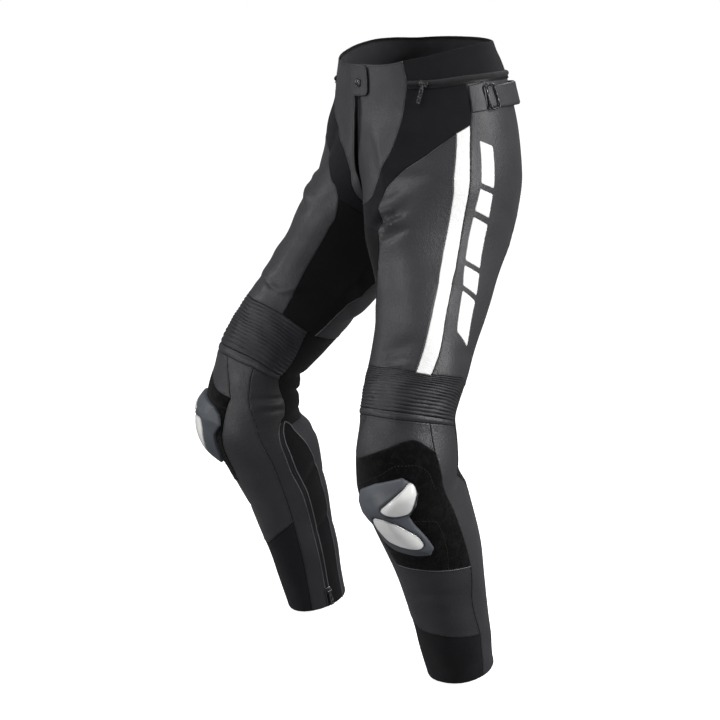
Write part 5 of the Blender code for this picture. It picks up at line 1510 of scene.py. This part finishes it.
# ---- finishes ------------------------------------------------------------
def node(tree, kind, sockets=None, **settings):
    """A shader node: settings are its own, and a socket value is a link or a number."""
    made = tree.nodes.new(kind)
    for key, value in settings.items():
        setattr(made, key, value)
    for key, value in (sockets or {}).items():
        if isinstance(value, bpy.types.NodeSocket):
            tree.links.new(value, made.inputs[key])
        else:
            made.inputs[key].default_value = value
    return made


def maths(tree, operation, *values):
    return node(tree, "ShaderNodeMath", dict(enumerate(values)), operation=operation).outputs[0]


def spread(tree, value, low, high, to_low=0.0, to_high=1.0):
    sockets = {"Value": value, "From Min": low, "From Max": high, "To Min": to_low,
               "To Max": to_high}
    made = node(tree, "ShaderNodeMapRange", sockets, interpolation_type="SMOOTHSTEP")
    return made.outputs["Result"]


def noise(tree, at, scale, detail, roughness=0.5, distortion=0.0):
    sockets = {"Vector": at, "Scale": scale, "Detail": detail, "Roughness": roughness,
               "Distortion": distortion}
    return node(tree, "ShaderNodeTexNoise", sockets).outputs["Fac"]


def effect(name, inputs, outputs, build):
    """A node group with its named sockets: an input that starts at None is a vector,
    and build gives the outputs' values in order."""
    tree = bpy.data.node_groups.new(name, "ShaderNodeTree")
    for title, value in inputs.items():
        kind = "NodeSocketVector" if value is None else "NodeSocketFloat"
        made = tree.interface.new_socket(title, in_out="INPUT", socket_type=kind)
        if value is not None:
            made.default_value = value
    for title in outputs:
        tree.interface.new_socket(title, in_out="OUTPUT", socket_type="NodeSocketFloat")
    given, wanted = tree.nodes.new("NodeGroupInput"), tree.nodes.new("NodeGroupOutput")
    for title, value in zip(outputs, build(tree, given.outputs)):
        tree.links.new(value, wanted.inputs[title])
    return tree


def grain(tree, given):
    """Leather grain: small rounded cells over a finer noise, and a wide mottle for
    colour and gloss."""
    at = given["Vector"]
    cells = node(tree, "ShaderNodeTexVoronoi", {"Vector": at, "Scale": given["Cells"],
                                                "Smoothness": 0.35}, feature="SMOOTH_F1")
    cell = maths(tree, "MULTIPLY", cells.outputs["Distance"], 0.6)
    rough = noise(tree, at, 210.0, 4.0, 0.6)
    return maths(tree, "MULTIPLY_ADD", rough, 1.5, cell), noise(tree, at, 17.0, 3.0, 0.55)


def weave(tree, given):
    """Woven stretch: two sets of fine diagonal ribs, from sines of the pattern's
    own coordinates, and a little noise."""
    parts = node(tree, "ShaderNodeSeparateXYZ", {"Vector": given["Pattern"]})
    x, y = parts.outputs["X"], parts.outputs["Y"]
    turn = maths(tree, "DIVIDE", 2 * math.pi, given["Pitch"])
    steep, shallow = (
        maths(tree, "SINE", maths(tree, "MULTIPLY", maths(tree, "MULTIPLY_ADD", *terms), turn))
        for terms in ((y, 0.6, x), (x, -0.4, y)))
    both = maths(tree, "MAXIMUM", steep, shallow)
    return maths(tree, "MULTIPLY_ADD", both, 0.5, 0.5), noise(tree, given["Pattern"], 60.0, 3.0)


def brushed(tree, given):
    """Brushed hook-and-loop pile: tufts of noise at two sizes, and brushed patches."""
    tufts = noise(tree, given["Vector"], 900.0, 4.0, 0.7)
    patches = noise(tree, given["Vector"], 70.0, 4.0, 0.65, 1.2)
    return maths(tree, "MULTIPLY_ADD", patches, 0.6, tufts), patches


def nearness(tree, given):
    """How near the panel's edge a spot is: 1 at the seam, 0 beyond the reach; the mask of the
    painted shade near seams.
    """
    return [spread(tree, given["Distance"], 0.0, given["Reach"], 1.0, 0.0)]


EFFECTS = {
    "grain": effect("leather grain", {"Vector": None, "Cells": 620.0}, ("Height", "Mottle"), grain),
    "weave": effect("stretch weave", {"Pattern": None, "Pitch": 0.0011}, ("Height", "Shade"), weave),
    "pile": effect("brushed pile", {"Vector": None}, ("Height", "Shade"), brushed),
    "edge": effect("near the seam", {"Distance": 0.0, "Reach": 0.003}, ("Near",), nearness),
}


def use_effect(tree, name, sockets):
    return node(tree, "ShaderNodeGroup", sockets, node_tree=EFFECTS[name]).outputs


def finish(name, colour, roughness, **sockets):
    """A material with its constants on the shader's own sockets."""
    made = bpy.data.materials.new(name)
    made.use_nodes = True
    shader = made.node_tree.nodes["Principled BSDF"]
    constants = {"Base Color": (*colour, 1), "Roughness": roughness, **sockets}
    for key, value in constants.items():
        shader.inputs[key.replace("_", " ")].default_value = value
    return made, made.node_tree, shader


def dimmed(colour, share):
    return tuple(share * value for value in colour)


def blend_colours(tree, share, first, second):
    made = node(tree, "ShaderNodeMix", data_type="RGBA")
    for index, value in ((0, share), (6, first), (7, second)):
        if isinstance(value, bpy.types.NodeSocket):
            tree.links.new(value, made.inputs[index])
        else:
            made.inputs[index].default_value = (*value, 1)
    return made.outputs[2]


def covered(tree, shader, share, dark, light, seam=0.0, reach=0.0, edge=None, gloss=None,
            height=None, depth=0.0):
    """The shader's colour runs from dark to light by the share, and is blended to
    the edge's near a seam as painted shade in the seam's groove.  gloss is a link
    for its roughness, height one for bumps of some depth."""
    colour = blend_colours(tree, share, dark, light)
    # Painted shade: near a seam the colour is blended towards the darker edge colour, as shade in
    # the seam's groove
    if seam:
        distance = node(tree, "ShaderNodeAttribute", attribute_name="seam_distance")
        near = use_effect(tree, "edge", {"Distance": distance.outputs["Fac"], "Reach": reach})
        colour = blend_colours(tree, maths(tree, "MULTIPLY", near["Near"], seam), colour, edge)
    tree.links.new(colour, shader.inputs["Base Color"])
    if gloss:
        tree.links.new(gloss, shader.inputs["Roughness"])
    made = node(tree, "ShaderNodeBump", {"Height": height, "Distance": depth, "Strength": 1.0})
    tree.links.new(made.outputs["Normal"], shader.inputs["Normal"])


def object_place(tree):
    return node(tree, "ShaderNodeTexCoord").outputs["Object"]


def leather(name, dark, light, roughness, cells=620.0, seam=0.55, edge=None):
    """Smooth finished leather: mottled colour, painted shade near the seams, a fine grain,
    and gloss that varies with the mottle."""
    made, tree, shader = finish(name, light, roughness, Specular_IOR_Level=0.4)
    out = use_effect(tree, "grain", {"Vector": object_place(tree), "Cells": cells})
    covered(tree, shader, spread(tree, out["Mottle"], 0.3, 0.7), dark, light, seam, 0.0022,
            edge or dimmed(dark, 0.25),
            spread(tree, out["Mottle"], 0.25, 0.75, roughness + 0.06, roughness - 0.06),
            out["Height"], 0.00036)
    return made


def woven(name, dark, light, roughness, pitch=0.0011):
    """Matt woven stretch with fine ribs, a faint sheen and worn-soft shade; painted shade darkens it
    near the seams.
    """
    made, tree, shader = finish(name, light, roughness, Specular_IOR_Level=0.20,
                                Sheen_Weight=0.07, Sheen_Roughness=0.5)
    place_on = node(tree, "ShaderNodeUVMap", uv_map="pattern").outputs["UV"]
    out = use_effect(tree, "weave", {"Pattern": place_on, "Pitch": pitch})
    shade = maths(tree, "MULTIPLY_ADD", out["Height"], 0.45,
                  maths(tree, "MULTIPLY", out["Shade"], 0.55))
    covered(tree, shader, spread(tree, shade, 0.2, 0.8), dark, light, 0.6, 0.0018,
            dimmed(dark, 0.2), height=out["Height"], depth=0.00025)
    return made


def pile(name, dark, light):
    made, tree, shader = finish(name, light, 0.95, Specular_IOR_Level=0.12, Sheen_Weight=0.10,
                                Sheen_Roughness=0.4)
    out = use_effect(tree, "pile", {"Vector": object_place(tree)})
    covered(tree, shader, spread(tree, out["Shade"], 0.42, 0.66), dark, light,
            height=out["Height"], depth=0.0012)
    return made


def moulded(name, dark, light, roughness, coat=0.0, seam=0.0):
    """Moulded plastic or print: a faint fine texture and slight cloudiness, and where seam is given,
    painted shade near its edges or grooves.
    """
    made, tree, shader = finish(name, light, roughness, Coat_Weight=coat, Coat_Roughness=0.12,
                                Specular_IOR_Level=0.5)
    out = use_effect(tree, "grain", {"Vector": object_place(tree), "Cells": 1500.0})
    covered(tree, shader, spread(tree, out["Mottle"], 0.3, 0.7), dark, light, seam, 0.0020,
            dimmed(dark, 0.3),
            spread(tree, out["Mottle"], 0.3, 0.7, roughness + 0.05, roughness - 0.05),
            out["Height"], 0.00006)
    return made


def metal(name, dark, light, roughness):
    """Black-plated die-cast metal, rubbed lighter in patches."""
    made, tree, shader = finish(name, light, roughness, Metallic=1.0)
    out = use_effect(tree, "grain", {"Vector": object_place(tree), "Cells": 2600.0})
    rubbed = noise(tree, object_place(tree), 420.0, 3.0)
    covered(tree, shader, spread(tree, rubbed, 0.48, 0.66), dark, light,
            gloss=spread(tree, rubbed, 0.4, 0.7, roughness + 0.08, roughness - 0.06),
            height=out["Height"], depth=0.00003)
    return made


FINISHES = {
    "leather": leather("charcoal leather", (0.0288, 0.0288, 0.0320), (0.0368, 0.0368, 0.0408), 0.47),
    # Its edge colour, far darker than its own, is painted shade in the seams and in the grooves
    # between the ribs
    "ribbed leather": leather("ribbed leather", (0.0160, 0.0160, 0.0190), (0.0220, 0.0220, 0.0256),
                              0.52, seam=0.75, edge=(0.0048, 0.0048, 0.0056)),
    # The stripe's edge colour, grey against its white, is painted shade along its seams
    "white leather": leather("white leather", (0.90, 0.90, 0.89), (0.95, 0.95, 0.94), 0.45,
                             seam=0.5, edge=(0.35, 0.35, 0.34)),
    # A darker copy of the charcoal leather: painted shade for the calf's inner and back pieces
    "dark leather": leather("shaded leather", (0.0200, 0.0200, 0.0222), (0.0256, 0.0256, 0.0284),
                            0.50),
    # Lighter than the leather: partly a painted highlight along the piped edges
    "piping": leather("piping", (0.075, 0.075, 0.082), (0.118, 0.118, 0.127), 0.42, 900.0, 0.0),
    # A darker copy of the black stretch: painted shade for the inner thigh, the back of the knee and
    # the calf gusset
    "dark stretch": woven("shaded stretch", (0.0016, 0.0014, 0.0021), (0.0032, 0.0028, 0.0042),
                          0.90),
    "stretch": woven("black stretch", (0.0030, 0.0026, 0.0040), (0.0058, 0.0050, 0.0076), 0.85),
    "lining": woven("lining", (0.0120, 0.0120, 0.0140), (0.0200, 0.0200, 0.0230), 0.8, 0.0022),
    "facing": woven("waist facing", (0.0290, 0.0288, 0.0320), (0.0460, 0.0455, 0.0510), 0.7,
                    0.0016),
    "zip": woven("zip tape", (0.0088, 0.0088, 0.0100), (0.0208, 0.0208, 0.0224), 0.75, 0.0013),
    "thread": woven("thread", (0.0160, 0.0160, 0.0184), (0.0368, 0.0368, 0.0408), 0.6, 0.0006),
    "pad thread": woven("pad thread", (0.0480, 0.0488, 0.0544), (0.0840, 0.0848, 0.0928), 0.6,
                        0.0006),
    "hook pad": pile("hook pad", (0.0016, 0.0016, 0.0021), (0.0068, 0.0068, 0.0080)),
    # Its edge colour is painted shade in the grooves round the inlays
    "slider plastic": moulded("slider plastic", (0.0600, 0.0664, 0.0776), (0.0800, 0.0880, 0.1016),
                              0.50, seam=0.85),
    # The inlays' and the bars' grey edge colour is painted shade round their edges
    "inlay white": moulded("inlay white", (0.90, 0.90, 0.88), (0.95, 0.95, 0.93), 0.22, 0.6, 0.6),
    "bar white": moulded("bar white", (0.90, 0.90, 0.89), (0.95, 0.95, 0.94), 0.5, seam=0.4),
    "zip teeth": moulded("zip teeth", (0.0096, 0.0096, 0.0112), (0.0208, 0.0208, 0.0232), 0.35),
    "metal": metal("black metal", (0.090, 0.090, 0.095), (0.340, 0.340, 0.348), 0.34),
    "dark metal": metal("ring metal", (0.030, 0.030, 0.033), (0.150, 0.150, 0.155), 0.36),
}


# ---- camera, floor and light ---------------------------------------------
AIM = Vector((-0.053, -0.076, -0.470))
LIT = Vector((0.0, -0.060, -0.200))      # the lamps point at the hips and fall off below them
CAMERA_AT = (55, 11.5, 2.9)              # azimuth, elevation and distance from its aim
LENS = 93.55
FLOOR_REACH, FLOOR_DROP = 12, 0.003      # half its side, and how far it is under the hems
# Soft lamps: azimuth, elevation, distance, width and height, power.
LAMPS = {
    "key":         (-2, 50, 2.0, 0.9, 0.9, 15),
    "left strip":  (-36, 18, 2.2, 0.4, 1.6, 14),
    "low front":   (0, -14, 2.2, 1.0, 0.5, 15),
    "right strip": (120, 20, 2.2, 0.4, 1.7, 52),
    "back":        (200, 44, 2.4, 1.6, 1.0, 17),
}


def stand(name, data, aim, azimuth, elevation, distance):
    """An object away from its aim, that looks at it; returns it."""
    azimuth, elevation = math.radians(azimuth), math.radians(elevation)
    made = bpy.data.objects.new(name, data)
    made.location = aim + distance * Vector((math.sin(azimuth) * math.cos(elevation),
                                             -math.cos(azimuth) * math.cos(elevation),
                                             math.sin(elevation)))
    made.rotation_euler = (aim - made.location).to_track_quat("-Z", "Y").to_euler()
    bpy.context.scene.collection.objects.link(made)
    return made


def place_camera():
    data = bpy.data.cameras.new("camera")
    data.lens, data.sensor_width = LENS, 36
    bpy.context.scene.camera = stand("camera", data, AIM, *CAMERA_AT)


def studio():
    """A white room: a dim even world that the camera sees as white, soft lamps all
    round, and a pale floor just under the hems."""
    world = bpy.data.worlds.new("studio")
    bpy.context.scene.world = world
    world.use_nodes = True
    tree = world.node_tree
    tree.nodes.clear()
    seen = node(tree, "ShaderNodeBackground", {"Color": (1, 1, 1, 1), "Strength": 1.0})
    light = node(tree, "ShaderNodeBackground", {"Color": (0.97, 0.98, 1, 1), "Strength": 0.20})
    path = node(tree, "ShaderNodeLightPath")
    mixed = node(tree, "ShaderNodeMixShader", {0: path.outputs["Is Camera Ray"],
                                               1: light.outputs[0], 2: seen.outputs[0]})
    node(tree, "ShaderNodeOutputWorld", {"Surface": mixed.outputs[0]})
    for name, (azimuth, elevation, distance, width, height, power) in LAMPS.items():
        data = bpy.data.lights.new(name, "AREA")
        data.shape, data.size, data.size_y, data.energy = "RECTANGLE", width, height, power
        stand(name, data, LIT, azimuth, elevation, distance)
    mesh = bpy.data.meshes.new("floor")
    low = float(solid_box[0][2]) - FLOOR_DROP
    corners = [(x * FLOOR_REACH, y * FLOOR_REACH, low)
               for x, y in ((-1, -1), (1, -1), (1, 1), (-1, 1))]
    mesh.from_pydata(corners, [], [(0, 1, 2, 3)])
    floor = bpy.data.objects.new("floor", mesh)
    bpy.context.scene.collection.objects.link(floor)
    pale, _, _ = finish("pale floor", (0.90, 0.90, 0.90), 0.9, Specular_IOR_Level=0.1,
                        Emission_Color=(1, 1, 1, 1), Emission_Strength=0.92)
    mesh.materials.append(pale)
    floor.visible_diffuse = floor.visible_glossy = False
    bpy.context.scene.view_settings.view_transform = "Standard"


# ---- the whole garment ---------------------------------------------------
def calf_zip(side):
    """The calf zip's teeth, slider and pull."""
    line = thinned(curve(ZIP_LINE, side, LINE_STEP), side, CALF_TOOTH_PITCH)
    teeth(f"calf_teeth_{side}", side, line[2:-2], LIFTS["calf_zip"], TEETH["calf"])
    spot = mounting(side, *CALF_PULL_AT, LIFTS["calf_zip"] + LIE_GAP)
    zip_slider(f"calf_slider_{side}_shell", f"calf_slider_{side}", spot, CALF_SLIDER)
    zip_pull(f"calf_pull_{side}_shell", f"calf_pull_{side}", f"calf_pull_{side}_tab", spot,
             CALF_LEAN, CALF_PULL)


def waist_slider():
    spot = mounting("left", *WAIST_PULL_AT, WAIST_SLIDER_LIFT + LIE_GAP, WAIST_TURN)
    zip_slider("waist_slider_shell", "waist_slider", spot, WAIST_SLIDER)
    zip_pull("waist_pull_shell", "waist_pull", "waist_pull_tab", spot, WAIST_LEAN, WAIST_PULL)


place_camera()
for leg in LEGS:
    for piece in PIECES:
        panel(piece, leg)
    for part in (ribs, stitches, pad_sewing, piping, knee_slider, side_bars, waist_zip,
                 strap_base, straps, ring, facing, calf_zip):
        part(leg)
fly()
snap()
waist_slider()
studio()
